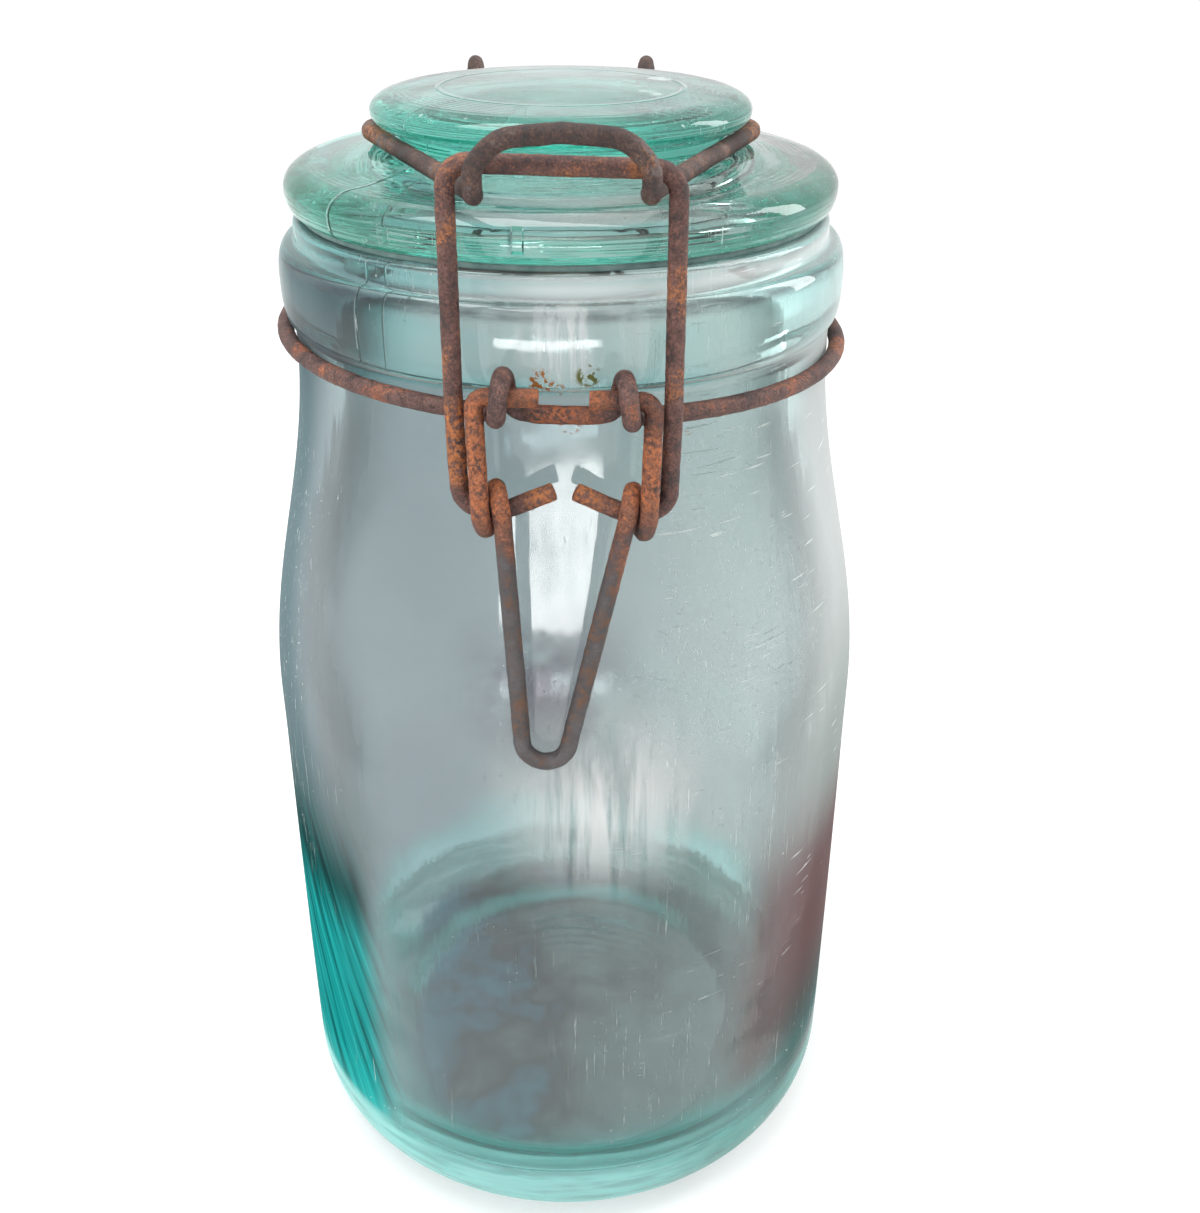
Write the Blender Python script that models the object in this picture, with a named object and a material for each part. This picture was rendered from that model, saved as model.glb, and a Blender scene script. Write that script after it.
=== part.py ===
"""Aqua glass canning jar with a glass lid and a bent-wire lever closure.

Units are metres and +Z is up. The origin is the centre of the base, on the
surface the jar stands on. The closure's hasp and lever are at the front (-Y),
and the hinge of the lid is at the back (+Y).
"""

import math

import bpy
from mathutils import Vector

GAP = 0.0003

# Glass jar, outside, from the base up.
BODY_R = 0.0599
BODY_SWELL = 0.0003
BODY_SWELL_Z = 0.040
BODY_SWELL_SPAN = 0.060
BEARING_SET_IN = 0.0164
BEARING_WIDTH = 0.0050
PUSH_UP_H = 0.0040
HEEL_H = 0.0160
HEEL_POWER = 2.15
SHOULDER_FOOT_Z = 0.110
SHOULDER_H = 0.073
SHOULDER_SET_IN = 0.0102
GROOVE_H = 0.0035
BEAD_LOW_H = 0.0075
BEAD_UP_H = 0.0063
BEAD_OUT = 0.0020
BEAD_POWER = 2.6
LIP_H = 0.0040
LIP_SET_IN = 0.0012
LIP_ROUND = 0.0010

NECK_R = BODY_R - SHOULDER_SET_IN
BEARING_OUTER_R = BODY_R - BEARING_SET_IN
BEARING_INNER_R = BEARING_OUTER_R - BEARING_WIDTH
SHOULDER_HEAD_Z = SHOULDER_FOOT_Z + SHOULDER_H
BEAD_LOW_Z = SHOULDER_HEAD_Z + GROOVE_H
BEAD_MID_Z = BEAD_LOW_Z + BEAD_LOW_H
BEAD_HIGH_Z = BEAD_MID_Z + BEAD_UP_H
BEAD_R = NECK_R + BEAD_OUT
LIP_R = NECK_R - LIP_SET_IN
LIP_TOP_Z = BEAD_HIGH_Z + LIP_H

# Glass jar, inside.
LIP_WIDTH = 0.0070
WALL = 0.0039
LOW_WALL_EXTRA = 0.0020
LOW_WALL_TOP_Z = 0.0700
FLOOR_T = 0.0060
FLOOR_RISE = 0.0012
CAVITY_CORNER_R = 0.0140
CAVITY_SHOULDER_LAG = 0.0020

MOUTH_R = LIP_R - LIP_WIDTH
CAVITY_R = BODY_R - WALL
CAVITY_LOW_R = CAVITY_R - LOW_WALL_EXTRA
FLOOR_Z = PUSH_UP_H + FLOOR_T
CAVITY_LOW_Z = FLOOR_Z + CAVITY_CORNER_R
CAVITY_SHOULDER_Z = SHOULDER_FOOT_Z + CAVITY_SHOULDER_LAG

# Rubber seal, lying on the lip.
SEAL_T = 0.0010
SEAL_INNER_MARGIN = 0.0007
SEAL_OUTER_MARGIN = 0.0013

SEAL_LOW_Z = LIP_TOP_Z + GAP
SEAL_HIGH_Z = SEAL_LOW_Z + SEAL_T
SEAL_INNER_R = MOUTH_R + SEAL_INNER_MARGIN
SEAL_OUTER_R = LIP_R - SEAL_OUTER_MARGIN

# Glass lid: flange, waist and knob, from the seat up.
FLANGE_OVERHANG = 0.0010
FLANGE_UNDERCUT = 0.0016
FLANGE_ROUND = 0.0051
FLANGE_LOW_H = 0.0036
FLANGE_UP_H = 0.0038
SHELF_RISE = 0.0020
SHELF_POWER = 1.6
WAIST_H = 0.0039
WAIST_SET_IN = 0.00425
WAIST_FOOT_R = 0.0026
WAIST_FOOT_H = 0.0016
KNOB_SET_IN = 0.01075
KNOB_UNDERCUT = 0.00245
KNOB_UNDER_LIP = 0.0006
KNOB_LOW_H = 0.0024
KNOB_UP_H = 0.0030
KNOB_ROUND = 0.00565
KNOB_CROWN = 0.0007

LID_SEAT_Z = SEAL_HIGH_Z + GAP
FLANGE_R = LIP_R + FLANGE_OVERHANG
FLANGE_MID_Z = LID_SEAT_Z + FLANGE_LOW_H
SHELF_R = FLANGE_R - FLANGE_ROUND
SHELF_Z = FLANGE_MID_Z + FLANGE_UP_H
KNOB_R = SHELF_R - KNOB_SET_IN
WAIST_R = KNOB_R - WAIST_SET_IN
WAIST_FOOT_Z = SHELF_Z + SHELF_RISE
KNOB_UNDER_R = KNOB_R - KNOB_UNDERCUT
KNOB_UNDER_Z = WAIST_FOOT_Z + WAIST_H
KNOB_MID_Z = KNOB_UNDER_Z + KNOB_LOW_H
KNOB_TOP_R = KNOB_R - KNOB_ROUND
KNOB_TOP_Z = KNOB_MID_Z + KNOB_UP_H

# Glass lid: plug and the recess under it.
PLUG_CLEARANCE = 0.0019
PLUG_DEPTH = 0.0050
PLUG_TAPER = 0.0006
PLUG_EDGE_W = 0.0012
PLUG_EDGE_H = 0.0008
PLUG_WALL = 0.0061
RECESS_FLARE = 0.0045
RECESS_DEPTH = 0.0061
RECESS_CROWN = 0.0025

PLUG_R = MOUTH_R - PLUG_CLEARANCE
PLUG_BOTTOM_Z = LID_SEAT_Z - PLUG_DEPTH
PLUG_INNER_R = PLUG_R - PLUG_WALL
RECESS_R = PLUG_INNER_R - RECESS_FLARE
RECESS_Z = PLUG_BOTTOM_Z + RECESS_DEPTH

# Closure wire.
WIRE_R = 0.0015
BEND_INNER_R = 0.0005
CLOSURE_LEAN_DEG = 1.9
LEAN_BACK_Y = 0.040

WIRE_D = 2.0 * WIRE_R
EYE_R = WIRE_D + GAP
TIGHT_BEND_R = WIRE_R + BEND_INNER_R

# Neck wire: a ring in the groove under the bead, with two eyes at the front
# for the lever and two at the back for the hinge.
RING_DROP = 0.0037
EYE_SET_OUT = 0.0005
EYE_LIFT = 0.0011
FRONT_EYE_IN_X = 0.0088
FRONT_EYE_SHIFT = 0.0019
REAR_EYE_OUT_X = 0.0193
REAR_EYE_SHIFT = 0.0021
DIP_LIFT = 0.0004
RISE_LIFT = 0.0008
DIP_DEG = 5.0
RISE_DEG = 8.8
FRONT_LEAVE_DEG = 12.7
ROUND_START_DEG = 18.0
ROUND_END_DEG = 154.5
REAR_ARRIVE_DEG = 157.4
REAR_LEAVE_DEG = 162.2
BACK_START_DEG = 166.0
BACK_MID_DEG = 173.0
DIP_BEND_R = 0.0040

RING_R = NECK_R + GAP + WIRE_R
RING_Z = BEAD_LOW_Z - RING_DROP
PIVOT_Y = -(RING_R + EYE_R + EYE_SET_OUT)
PIVOT_Z = RING_Z + EYE_R + EYE_LIFT
REAR_PIVOT_Y = -PIVOT_Y
FRONT_EYE_OUT_X = FRONT_EYE_IN_X + FRONT_EYE_SHIFT
REAR_EYE_IN_X = REAR_EYE_OUT_X - REAR_EYE_SHIFT

# Lever: stubs in the neck wire's front eyes, arms, eyes and a V handle.
LEVER_STUB_END_X = 0.0039
ARM_LENGTH = 0.0186
ARM_DRAW_IN = 0.0007
EYE_COIL_GAP = 0.0004
HANDLE_DROP = 0.0448
HANDLE_TIP_X = -0.0036
HANDLE_TIP_R = 0.0040
HANDLE_GAP = 0.0006

ARM_TOP_X = FRONT_EYE_OUT_X + WIRE_D + GAP
ARM_LOW_X = ARM_TOP_X - ARM_DRAW_IN
LEVER_EYE_Y = PIVOT_Y
LEVER_EYE_Z = PIVOT_Z - ARM_LENGTH
LEVER_EYE_IN_X = ARM_LOW_X - WIRE_D - EYE_COIL_GAP

# Lid wire: eyes on the hinge link, sides under the knob's edge, and legs that
# rise to a crossbar in front of the hasp.
LID_WIRE_LIFT = 0.0006
HOOK_X = 0.0129
HOOK_REACH = 0.0057
HOOK_H = 0.0091
HOOK_SLACK = 0.0009
HOOK_GAP = 0.00085
CROSSBAR_BEND_R = 0.0048
HOOK_BEND_R = 0.0034
UNDER_BAR_BEND_R = 0.0040
SIDE_WAIST_SLACK = 0.0005
SIDE_CORNER_Y = 0.0030
SIDE_BEND_R = 0.0120
LID_EYE_OUT_Y = 0.0021
LID_EYE_LIFT = 0.0014
LID_EYE_SHIFT = 0.0027
LID_EYE_TURN_DEG = 318.0
LID_EYE_LEAD_X = 0.0012
LID_EYE_LEAD_Y = 0.0050
LID_EYE_LEAD_BEND_R = 0.0060

LID_WIRE_Z = WAIST_FOOT_Z + WIRE_R + LID_WIRE_LIFT
HOOK_FRONT_Y = -(FLANGE_R + HOOK_REACH)
CROSSBAR_Z = LID_WIRE_Z + HOOK_H
LID_EYE_Y = FLANGE_R + LID_EYE_OUT_Y
LID_EYE_Z = LID_WIRE_Z + LID_EYE_LIFT
LID_EYE_OUT_X = REAR_EYE_OUT_X
LID_EYE_IN_X = LID_EYE_OUT_X - LID_EYE_SHIFT

# Hasp: a bar behind the lid wire's legs, two long legs, and feet turned in
# through the lever's eyes.
HASP_SIDE_PLAY = 0.0012
HASP_MID_SET_OUT = 0.0024
HASP_MID_Z_OVER_RING = 0.0014
HASP_BEND_R = 0.0035
HASP_MID_BEND_R = 0.0200
HASP_FOOT_BEND_R = 0.0036
HASP_STUB_LEAD = 0.0010
HASP_STUB_END_X = 0.0017
HASP_STUB_RISE = 0.0032

HASP_BAR_Y = HOOK_FRONT_Y + WIRE_D + HOOK_SLACK
HASP_BAR_Z = LID_WIRE_Z + WIRE_D + HOOK_GAP
HASP_TOP_X = HOOK_X + WIRE_D + HASP_SIDE_PLAY
HASP_MID_Y = HASP_BAR_Y - HASP_MID_SET_OUT
HASP_MID_Z = RING_Z + HASP_MID_Z_OVER_RING
HASP_LOW_X = ARM_LOW_X + WIRE_D + GAP
HASP_STUB_BEND_X = LEVER_EYE_IN_X - HASP_STUB_LEAD

# Rear link: a frame between the neck wire's rear eyes and the lid wire's eyes.
LINK_SIDE_PLAY = 0.0009
LINK_STUB_LENGTH = 0.0027
LINK_TOP_BEND_R = 0.0035

LINK_LEG_X = REAR_EYE_OUT_X + WIRE_D + LINK_SIDE_PLAY
LINK_STUB_END_X = REAR_EYE_IN_X - LINK_STUB_LENGTH

# Fineness.
TURN_STEPS = 48
DOME_STEPS = 2
SHELF_STEPS = 3
SMALL_ROUND_STEPS = 2
UNDERCUT_STEPS = 3
CORNER_STEPS = 5
HEEL_STEPS = 8
LOW_WALL_POINTS = 4
CAVITY_SHOULDER_POINTS = 8
SHOULDER_POINTS = 10
BODY_POINTS = 5
HANDLE_TEST_POINTS = 24
WIRE_BEVEL_RESOLUTION = 2
BEND_STEP_DEG = 22.5
RING_STEP_DEG = 7.5
STRAIGHT_DEG = 1.0
SEGMENT_USE_SHARE = 0.98
MERGE_DISTANCE = 0.00002
REPEAT_DISTANCE = 0.00012

# Colours, then finishes as roughness, metallic value and transmission.
AQUA_BODY = (0.62, 0.78, 0.76, 1.0)
AQUA_LID = (0.25, 0.66, 0.54, 1.0)
AGED_RUBBER = (0.045, 0.075, 0.075, 1.0)
RUST_BROWN = (0.17, 0.085, 0.055, 1.0)
RUST_RED = (0.26, 0.10, 0.06, 1.0)
RUST_ORANGE = (0.34, 0.13, 0.05, 1.0)
WORN_DARK = (0.10, 0.07, 0.06, 1.0)
GLASS_FINISH = (0.05, 0.0, 1.0)
RUBBER_FINISH = (0.75, 0.0, 0.0)
RUST_FINISH = (0.80, 0.25, 0.0)
WORN_FINISH = (0.60, 0.40, 0.0)


def clear_scene():
    """Remove whatever the scene holds at the start."""
    for item in list(bpy.data.objects):
        bpy.data.objects.remove(item, do_unlink=True)


def make_material(name, colour, finish):
    """Return a Principled material."""
    material = bpy.data.materials.new(name)
    material.use_nodes = True
    shader = material.node_tree.nodes["Principled BSDF"]
    shader.inputs["Base Color"].default_value = colour
    names = ("Roughness", "Metallic", "Transmission Weight")
    for socket, value in zip(names, finish):
        shader.inputs[socket].default_value = value
    material.diffuse_color = colour
    return material


def cosine_ramp(share):
    """Return a smooth 0 to 1 ramp for a share between 0 and 1."""
    clamped = min(1.0, max(0.0, share))
    return 0.5 - 0.5 * math.cos(math.pi * clamped)


def spaced(first, last, count):
    """Return count values from first to last."""
    return [first + (last - first) * index / (count - 1) for index in range(count)]


def quarter_curve(start, end, leaves_along_z, power, steps):
    """Return points along a quarter superellipse, without its start."""
    points = []
    for index in range(1, steps):
        angle = 0.5 * math.pi * index / steps
        along = math.sin(angle) ** (2.0 / power)
        across = 1.0 - math.cos(angle) ** (2.0 / power)
        shares = (across, along) if leaves_along_z else (along, across)
        radius = start[0] + (end[0] - start[0]) * shares[0]
        height = start[1] + (end[1] - start[1]) * shares[1]
        points.append((radius, height))
    points.append(end)
    return points


def dome(edge_radius, edge_height, rise):
    """Return points from a shallow dome's centre to its edge."""
    points = []
    for share in spaced(0.0, 1.0, DOME_STEPS + 1):
        points.append((edge_radius * share, edge_height + rise * (1.0 - share * share)))
    return points


def body_outer_radius(height):
    """Return the jar's outer radius between the heel and the bead."""
    share = (height - SHOULDER_FOOT_Z) / SHOULDER_H
    drop = cosine_ramp(share) * (BODY_R - NECK_R)
    offset = (height - BODY_SWELL_Z) / BODY_SWELL_SPAN
    swell = BODY_SWELL * max(0.0, 1.0 - offset * offset)
    return BODY_R + swell - drop


def low_wall_radius(height):
    """Return the cavity's radius from its lower corner up to the even wall."""
    share = (height - CAVITY_LOW_Z) / (LOW_WALL_TOP_Z - CAVITY_LOW_Z)
    return CAVITY_LOW_R + LOW_WALL_EXTRA * cosine_ramp(share)


def cavity_shoulder_radius(height):
    """Return the cavity's radius between the even wall and the mouth."""
    share = (height - CAVITY_SHOULDER_Z) / (SHOULDER_HEAD_Z - CAVITY_SHOULDER_Z)
    return CAVITY_R - (CAVITY_R - MOUTH_R) * cosine_ramp(share)


def cavity_profile():
    """Return the jar's inner profile, from the floor's centre to the lip."""
    corner = (CAVITY_LOW_R - CAVITY_CORNER_R, FLOOR_Z)
    corner_end = (CAVITY_LOW_R, CAVITY_LOW_Z)
    points = dome(corner[0], FLOOR_Z, FLOOR_RISE)
    points += quarter_curve(corner, corner_end, False, 2.0, CORNER_STEPS)
    for height in spaced(CAVITY_LOW_Z, LOW_WALL_TOP_Z, LOW_WALL_POINTS)[1:]:
        points.append((low_wall_radius(height), height))
    for height in spaced(CAVITY_SHOULDER_Z, SHOULDER_HEAD_Z, CAVITY_SHOULDER_POINTS):
        points.append((cavity_shoulder_radius(height), height))
    return points


def lip_profile():
    """Return the lip's profile, from the mouth over the top to the bead."""
    inner_edge = (MOUTH_R, LIP_TOP_Z - LIP_ROUND)
    inner_flat = (MOUTH_R + LIP_ROUND, LIP_TOP_Z)
    outer_flat = (LIP_R - LIP_ROUND, LIP_TOP_Z)
    outer_edge = (LIP_R, LIP_TOP_Z - LIP_ROUND)
    points = [inner_edge]
    points += quarter_curve(inner_edge, inner_flat, True, 2.0, SMALL_ROUND_STEPS)
    points.append(outer_flat)
    points += quarter_curve(outer_flat, outer_edge, False, 2.0, SMALL_ROUND_STEPS)
    points.append((LIP_R, BEAD_HIGH_Z))
    return points


def jar_profile():
    """Return the jar's profile, from the floor's centre round to the underside."""
    crest = (BEAD_R, BEAD_MID_Z)
    points = cavity_profile() + lip_profile()
    points += quarter_curve(points[-1], crest, False, BEAD_POWER, CORNER_STEPS)
    points += quarter_curve(crest, (NECK_R, BEAD_LOW_Z), True, BEAD_POWER, CORNER_STEPS)
    for height in spaced(SHOULDER_HEAD_Z, SHOULDER_FOOT_Z, SHOULDER_POINTS):
        points.append((body_outer_radius(height), height))
    for height in spaced(SHOULDER_FOOT_Z, HEEL_H, BODY_POINTS)[1:]:
        points.append((body_outer_radius(height), height))
    foot = (BEARING_OUTER_R, 0.0)
    points += quarter_curve(points[-1], foot, True, HEEL_POWER, HEEL_STEPS)
    points += reversed(dome(BEARING_INNER_R, 0.0, PUSH_UP_H))
    return points


def shelf_height(radius):
    """Return the height of the lid's shelf, which rises towards the waist."""
    share = (SHELF_R - radius) / (SHELF_R - WAIST_R - WAIST_FOOT_R)
    return SHELF_Z + SHELF_RISE * min(1.0, max(0.0, share)) ** SHELF_POWER


def knob_profile():
    """Return the profile of the knob and the waist, from the top's centre down."""
    top_edge = (KNOB_TOP_R, KNOB_TOP_Z)
    side = (KNOB_R, KNOB_MID_Z)
    under = (KNOB_UNDER_R, KNOB_UNDER_Z)
    waist_foot = (WAIST_R, WAIST_FOOT_Z + WAIST_FOOT_H)
    points = dome(KNOB_TOP_R, KNOB_TOP_Z, KNOB_CROWN)
    points += quarter_curve(top_edge, side, False, 2.0, CORNER_STEPS)
    points += quarter_curve(side, under, True, 2.0, UNDERCUT_STEPS)
    points += [(WAIST_R, KNOB_UNDER_Z - KNOB_UNDER_LIP), waist_foot]
    return points


def lid_profile():
    """Return the lid's profile, from the top's centre round to the underside."""
    points = knob_profile()
    shelf_start = WAIST_R + WAIST_FOOT_R
    start = (shelf_start, WAIST_FOOT_Z)
    points += quarter_curve(points[-1], start, True, 2.0, UNDERCUT_STEPS)
    for radius in spaced(shelf_start, SHELF_R, SHELF_STEPS + 1)[1:]:
        points.append((radius, shelf_height(radius)))
    flange = (FLANGE_R, FLANGE_MID_Z)
    seat = (FLANGE_R - FLANGE_UNDERCUT, LID_SEAT_Z)
    points += quarter_curve(points[-1], flange, False, 2.0, CORNER_STEPS)
    points += quarter_curve(flange, seat, True, 2.0, UNDERCUT_STEPS)
    plug_low_r = PLUG_R - PLUG_TAPER
    points.append((PLUG_R, LID_SEAT_Z))
    points.append((plug_low_r, PLUG_BOTTOM_Z + PLUG_EDGE_H))
    points.append((plug_low_r - PLUG_EDGE_W, PLUG_BOTTOM_Z))
    points.append((PLUG_INNER_R, PLUG_BOTTOM_Z))
    recess = (RECESS_R, RECESS_Z)
    points += quarter_curve(points[-1], recess, True, 2.0, UNDERCUT_STEPS)
    points += list(reversed(dome(RECESS_R, RECESS_Z, RECESS_CROWN)))[1:]
    return points


def seal_profile():
    """Return the seal's closed section."""
    inner = [(SEAL_INNER_R, SEAL_LOW_Z), (SEAL_INNER_R, SEAL_HIGH_Z)]
    outer = [(SEAL_OUTER_R, SEAL_HIGH_Z), (SEAL_OUTER_R, SEAL_LOW_Z)]
    return inner + outer


def turned(name, profile, closed, material):
    """Make an object by turning a profile about the jar's axis."""
    mesh = bpy.data.meshes.new(name)
    vertices = [(radius, 0.0, height) for radius, height in profile]
    edges = [(index, index + 1) for index in range(len(profile) - 1)]
    if closed:
        edges.append((len(profile) - 1, 0))
    mesh.from_pydata(vertices, edges, [])
    mesh.materials.append(material)
    item = bpy.data.objects.new(name, mesh)
    bpy.context.scene.collection.objects.link(item)
    screw = item.modifiers.new("turn", "SCREW")
    screw.axis = "Z"
    screw.angle = 2.0 * math.pi
    screw.steps = TURN_STEPS
    screw.render_steps = TURN_STEPS
    screw.use_merge_vertices = True
    screw.merge_threshold = MERGE_DISTANCE
    screw.use_smooth_shade = True
    return item


def corner_turns(corners):
    """Return the angle by which a line turns at each of its inner corners."""
    turns = [0.0] * len(corners)
    for index in range(1, len(corners) - 1):
        arriving = corners[index] - corners[index - 1]
        leaving = corners[index + 1] - corners[index]
        turns[index] = arriving.angle(leaving)
    return turns


def bend_setbacks(corners, radii, turns):
    """Return how far before and after each corner its bend starts and ends.

    Two bends that would meet on a short run are both tightened to fit it.
    """
    setbacks = []
    for radius, turn in zip(radii, turns):
        straight = turn < math.radians(STRAIGHT_DEG)
        setbacks.append(0.0 if straight else radius * math.tan(0.5 * turn))
    for index in range(len(corners) - 1):
        room = (corners[index + 1] - corners[index]).length * SEGMENT_USE_SHARE
        used = setbacks[index] + setbacks[index + 1]
        if used > room:
            setbacks[index] *= room / used
            setbacks[index + 1] *= room / used
    return setbacks


def rounded(points, radii):
    """Return the centre line of a wire bent at the given corners."""
    corners = [Vector(point) for point in points]
    turns = corner_turns(corners)
    setbacks = bend_setbacks(corners, radii, turns)
    line = [corners[0]]
    for index in range(1, len(corners) - 1):
        here = corners[index]
        setback = setbacks[index]
        if setback == 0.0:
            line.append(here)
            continue
        turn = turns[index]
        before = (corners[index - 1] - here).normalized()
        after = (corners[index + 1] - here).normalized()
        centre = here + (before + after).normalized() * (setback / math.sin(0.5 * turn))
        start = here + before * setback - centre
        end = here + after * setback - centre
        across = start.cross(end).normalized().cross(start)
        steps = max(2, math.ceil(math.degrees(turn) / BEND_STEP_DEG))
        for angle in spaced(0.0, turn, steps + 1):
            line.append(centre + start * math.cos(angle) + across * math.sin(angle))
    line.append(corners[-1])
    return line


def eye_turn(centre_y, centre_z, start_deg, sweep_deg, x_start, x_end):
    """Return points round an eye whose axis runs along X.

    Angles are measured in the YZ plane from +Y towards +Z.
    """
    count = math.ceil(abs(sweep_deg) / BEND_STEP_DEG)
    points = []
    for share in spaced(0.0, 1.0, count + 1):
        angle = math.radians(start_deg + sweep_deg * share)
        x = x_start + (x_end - x_start) * share
        y = centre_y + EYE_R * math.cos(angle)
        z = centre_z + EYE_R * math.sin(angle)
        points.append(Vector((x, y, z)))
    return points


def mirrored(points):
    """Return the points mirrored to the other side, in reverse order."""
    return [Vector((-point.x, point.y, point.z)) for point in reversed(points)]


def joined(*runs):
    """Join runs of points, leaving out points that repeat."""
    line = []
    for run in runs:
        for point in run:
            if not line or (point - line[-1]).length > REPEAT_DISTANCE:
                line.append(point)
    return line


def leaned(points):
    """Lower the closure on its right and raise it on its left, as it hangs."""
    slope = math.tan(math.radians(CLOSURE_LEAN_DEG))
    moved = []
    for point in points:
        front_share = cosine_ramp((LEAN_BACK_Y - point.y) / LEAN_BACK_Y)
        drop = point.x * slope * front_share
        moved.append(Vector((point.x, point.y, point.z - drop)))
    return moved


def wire(name, points, origin, closed, material):
    """Make a round wire along the points, with its origin on a joint's axis."""
    curve = bpy.data.curves.new(name, "CURVE")
    curve.dimensions = "3D"
    curve.bevel_depth = WIRE_R
    curve.bevel_resolution = WIRE_BEVEL_RESOLUTION
    curve.use_fill_caps = not closed
    curve.twist_mode = "MINIMUM"
    spline = curve.splines.new("POLY")
    spline.points.add(len(points) - 1)
    for target, point in zip(spline.points, points):
        local = point - Vector(origin)
        target.co = (local.x, local.y, local.z, 1.0)
    spline.use_cyclic_u = closed
    spline.use_smooth = True
    curve.materials.append(material)
    item = bpy.data.objects.new(name, curve)
    item.location = origin
    bpy.context.scene.collection.objects.link(item)
    return item


def neck_point(degrees_from_front, lift=0.0):
    """Return a point on the neck wire's circle."""
    angle = math.radians(degrees_from_front)
    return Vector((RING_R * math.sin(angle), -RING_R * math.cos(angle), RING_Z + lift))


def neck_wire_points():
    """Return the closed centre line of the neck wire, with its four eyes."""
    front_eye = eye_turn(PIVOT_Y, PIVOT_Z, 0.0, 270.0, FRONT_EYE_IN_X, FRONT_EYE_OUT_X)
    rear_eye = eye_turn(REAR_PIVOT_Y, PIVOT_Z, -90.0, 270.0, REAR_EYE_OUT_X, REAR_EYE_IN_X)
    dip = [neck_point(0.0, DIP_LIFT), neck_point(DIP_DEG, DIP_LIFT)]
    rise = rounded(dip + [neck_point(RISE_DEG, RISE_LIFT), front_eye[0]],
                   [0.0, DIP_BEND_R, TIGHT_BEND_R, 0.0])
    count = math.ceil((ROUND_END_DEG - ROUND_START_DEG) / RING_STEP_DEG) + 1
    side = [neck_point(degrees) for degrees in spaced(ROUND_START_DEG, ROUND_END_DEG, count)]
    one_bend = [0.0, TIGHT_BEND_R, 0.0]
    leave = rounded([front_eye[-1], neck_point(FRONT_LEAVE_DEG), side[0]], one_bend)
    arrive = rounded([side[-1], neck_point(REAR_ARRIVE_DEG), rear_eye[0]], one_bend)
    back = [neck_point(degrees) for degrees in (BACK_START_DEG, BACK_MID_DEG, 180.0)]
    fall = rounded([rear_eye[-1], neck_point(REAR_LEAVE_DEG, RISE_LIFT), back[0]], one_bend)
    right = joined(rise, front_eye, leave, side, arrive, rear_eye, fall, back)
    left = mirrored(right)
    return leaned(joined(right, left[1:-1]))


def handle_slope(start_depth):
    """Return how fast the handle must run outwards to clear the shoulder."""
    tip_z = LEVER_EYE_Z - HANDLE_DROP
    slopes = []
    for height in spaced(LEVER_EYE_Z, tip_z, HANDLE_TEST_POINTS)[1:]:
        depth = body_outer_radius(height) + HANDLE_GAP + WIRE_R
        slopes.append((depth - start_depth) / (LEVER_EYE_Z - height))
    return max(slopes)


def handle_points(start):
    """Return the V handle's tip, from its right leg round to its left leg.

    start is the top of the right leg. Both legs run straight from the lever's
    eyes and meet the round tip as tangents.
    """
    centre_z = LEVER_EYE_Z - HANDLE_DROP + HANDLE_TIP_R
    angles = []
    for x, side in ((start.x, -1.0), (-start.x, 1.0)):
        run = (x - HANDLE_TIP_X, start.z - centre_z)
        reach = math.acos(HANDLE_TIP_R / math.hypot(*run))
        angles.append(math.atan2(run[1], run[0]) + side * reach)
    first = angles[0]
    last = angles[1] - 2.0 * math.pi
    slope = handle_slope(-start.y)
    count = math.ceil(math.degrees(first - last) / BEND_STEP_DEG) + 1
    points = []
    for angle in spaced(first, last, count):
        x = HANDLE_TIP_X + HANDLE_TIP_R * math.cos(angle)
        z = centre_z + HANDLE_TIP_R * math.sin(angle)
        points.append(Vector((x, start.y - slope * (start.z - z), z)))
    return points


def lever_points():
    """Return the lever's centre line from its right stub to its left stub."""
    pivot = (PIVOT_Y, PIVOT_Z)
    eye_front = (ARM_LOW_X, LEVER_EYE_Y - EYE_R, LEVER_EYE_Z)
    arm_corners = [(LEVER_STUB_END_X,) + pivot, (ARM_TOP_X,) + pivot, eye_front]
    arm = rounded(arm_corners, [0.0, TIGHT_BEND_R, 0.0])
    eye = eye_turn(LEVER_EYE_Y, LEVER_EYE_Z, 180.0, 360.0, ARM_LOW_X, LEVER_EYE_IN_X)
    right = joined(arm, eye)
    return leaned(joined(right, handle_points(right[-1]), mirrored(right)))


def hasp_points():
    """Return the hasp's centre line from its right stub to its left stub."""
    eye = (LEVER_EYE_Y, LEVER_EYE_Z)
    stub_end = (HASP_STUB_END_X, LEVER_EYE_Y, LEVER_EYE_Z + HASP_STUB_RISE)
    foot = (HASP_LOW_X,) + eye
    middle = (HASP_TOP_X, HASP_MID_Y, HASP_MID_Z)
    corner = (HASP_TOP_X, HASP_BAR_Y, HASP_BAR_Z)
    bar_middle = (0.0, HASP_BAR_Y, HASP_BAR_Z)
    corners = [stub_end, (HASP_STUB_BEND_X,) + eye, foot, middle, corner, bar_middle]
    radii = [0.0, TIGHT_BEND_R, HASP_FOOT_BEND_R, HASP_MID_BEND_R, HASP_BEND_R, 0.0]
    right = rounded(corners, radii)
    return leaned(joined(right, mirrored(right)[1:]))


def side_corner_x():
    """Return where the lid wire's side bends, so that its front run clears the waist."""
    clear = WAIST_R + WIRE_R + SIDE_WAIST_SLACK
    towards_axis = math.atan2(-HASP_BAR_Y, -HOOK_X)
    heading = towards_axis - math.asin(clear / math.hypot(HOOK_X, HASP_BAR_Y))
    return HOOK_X + (SIDE_CORNER_Y - HASP_BAR_Y) / math.tan(heading)


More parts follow.
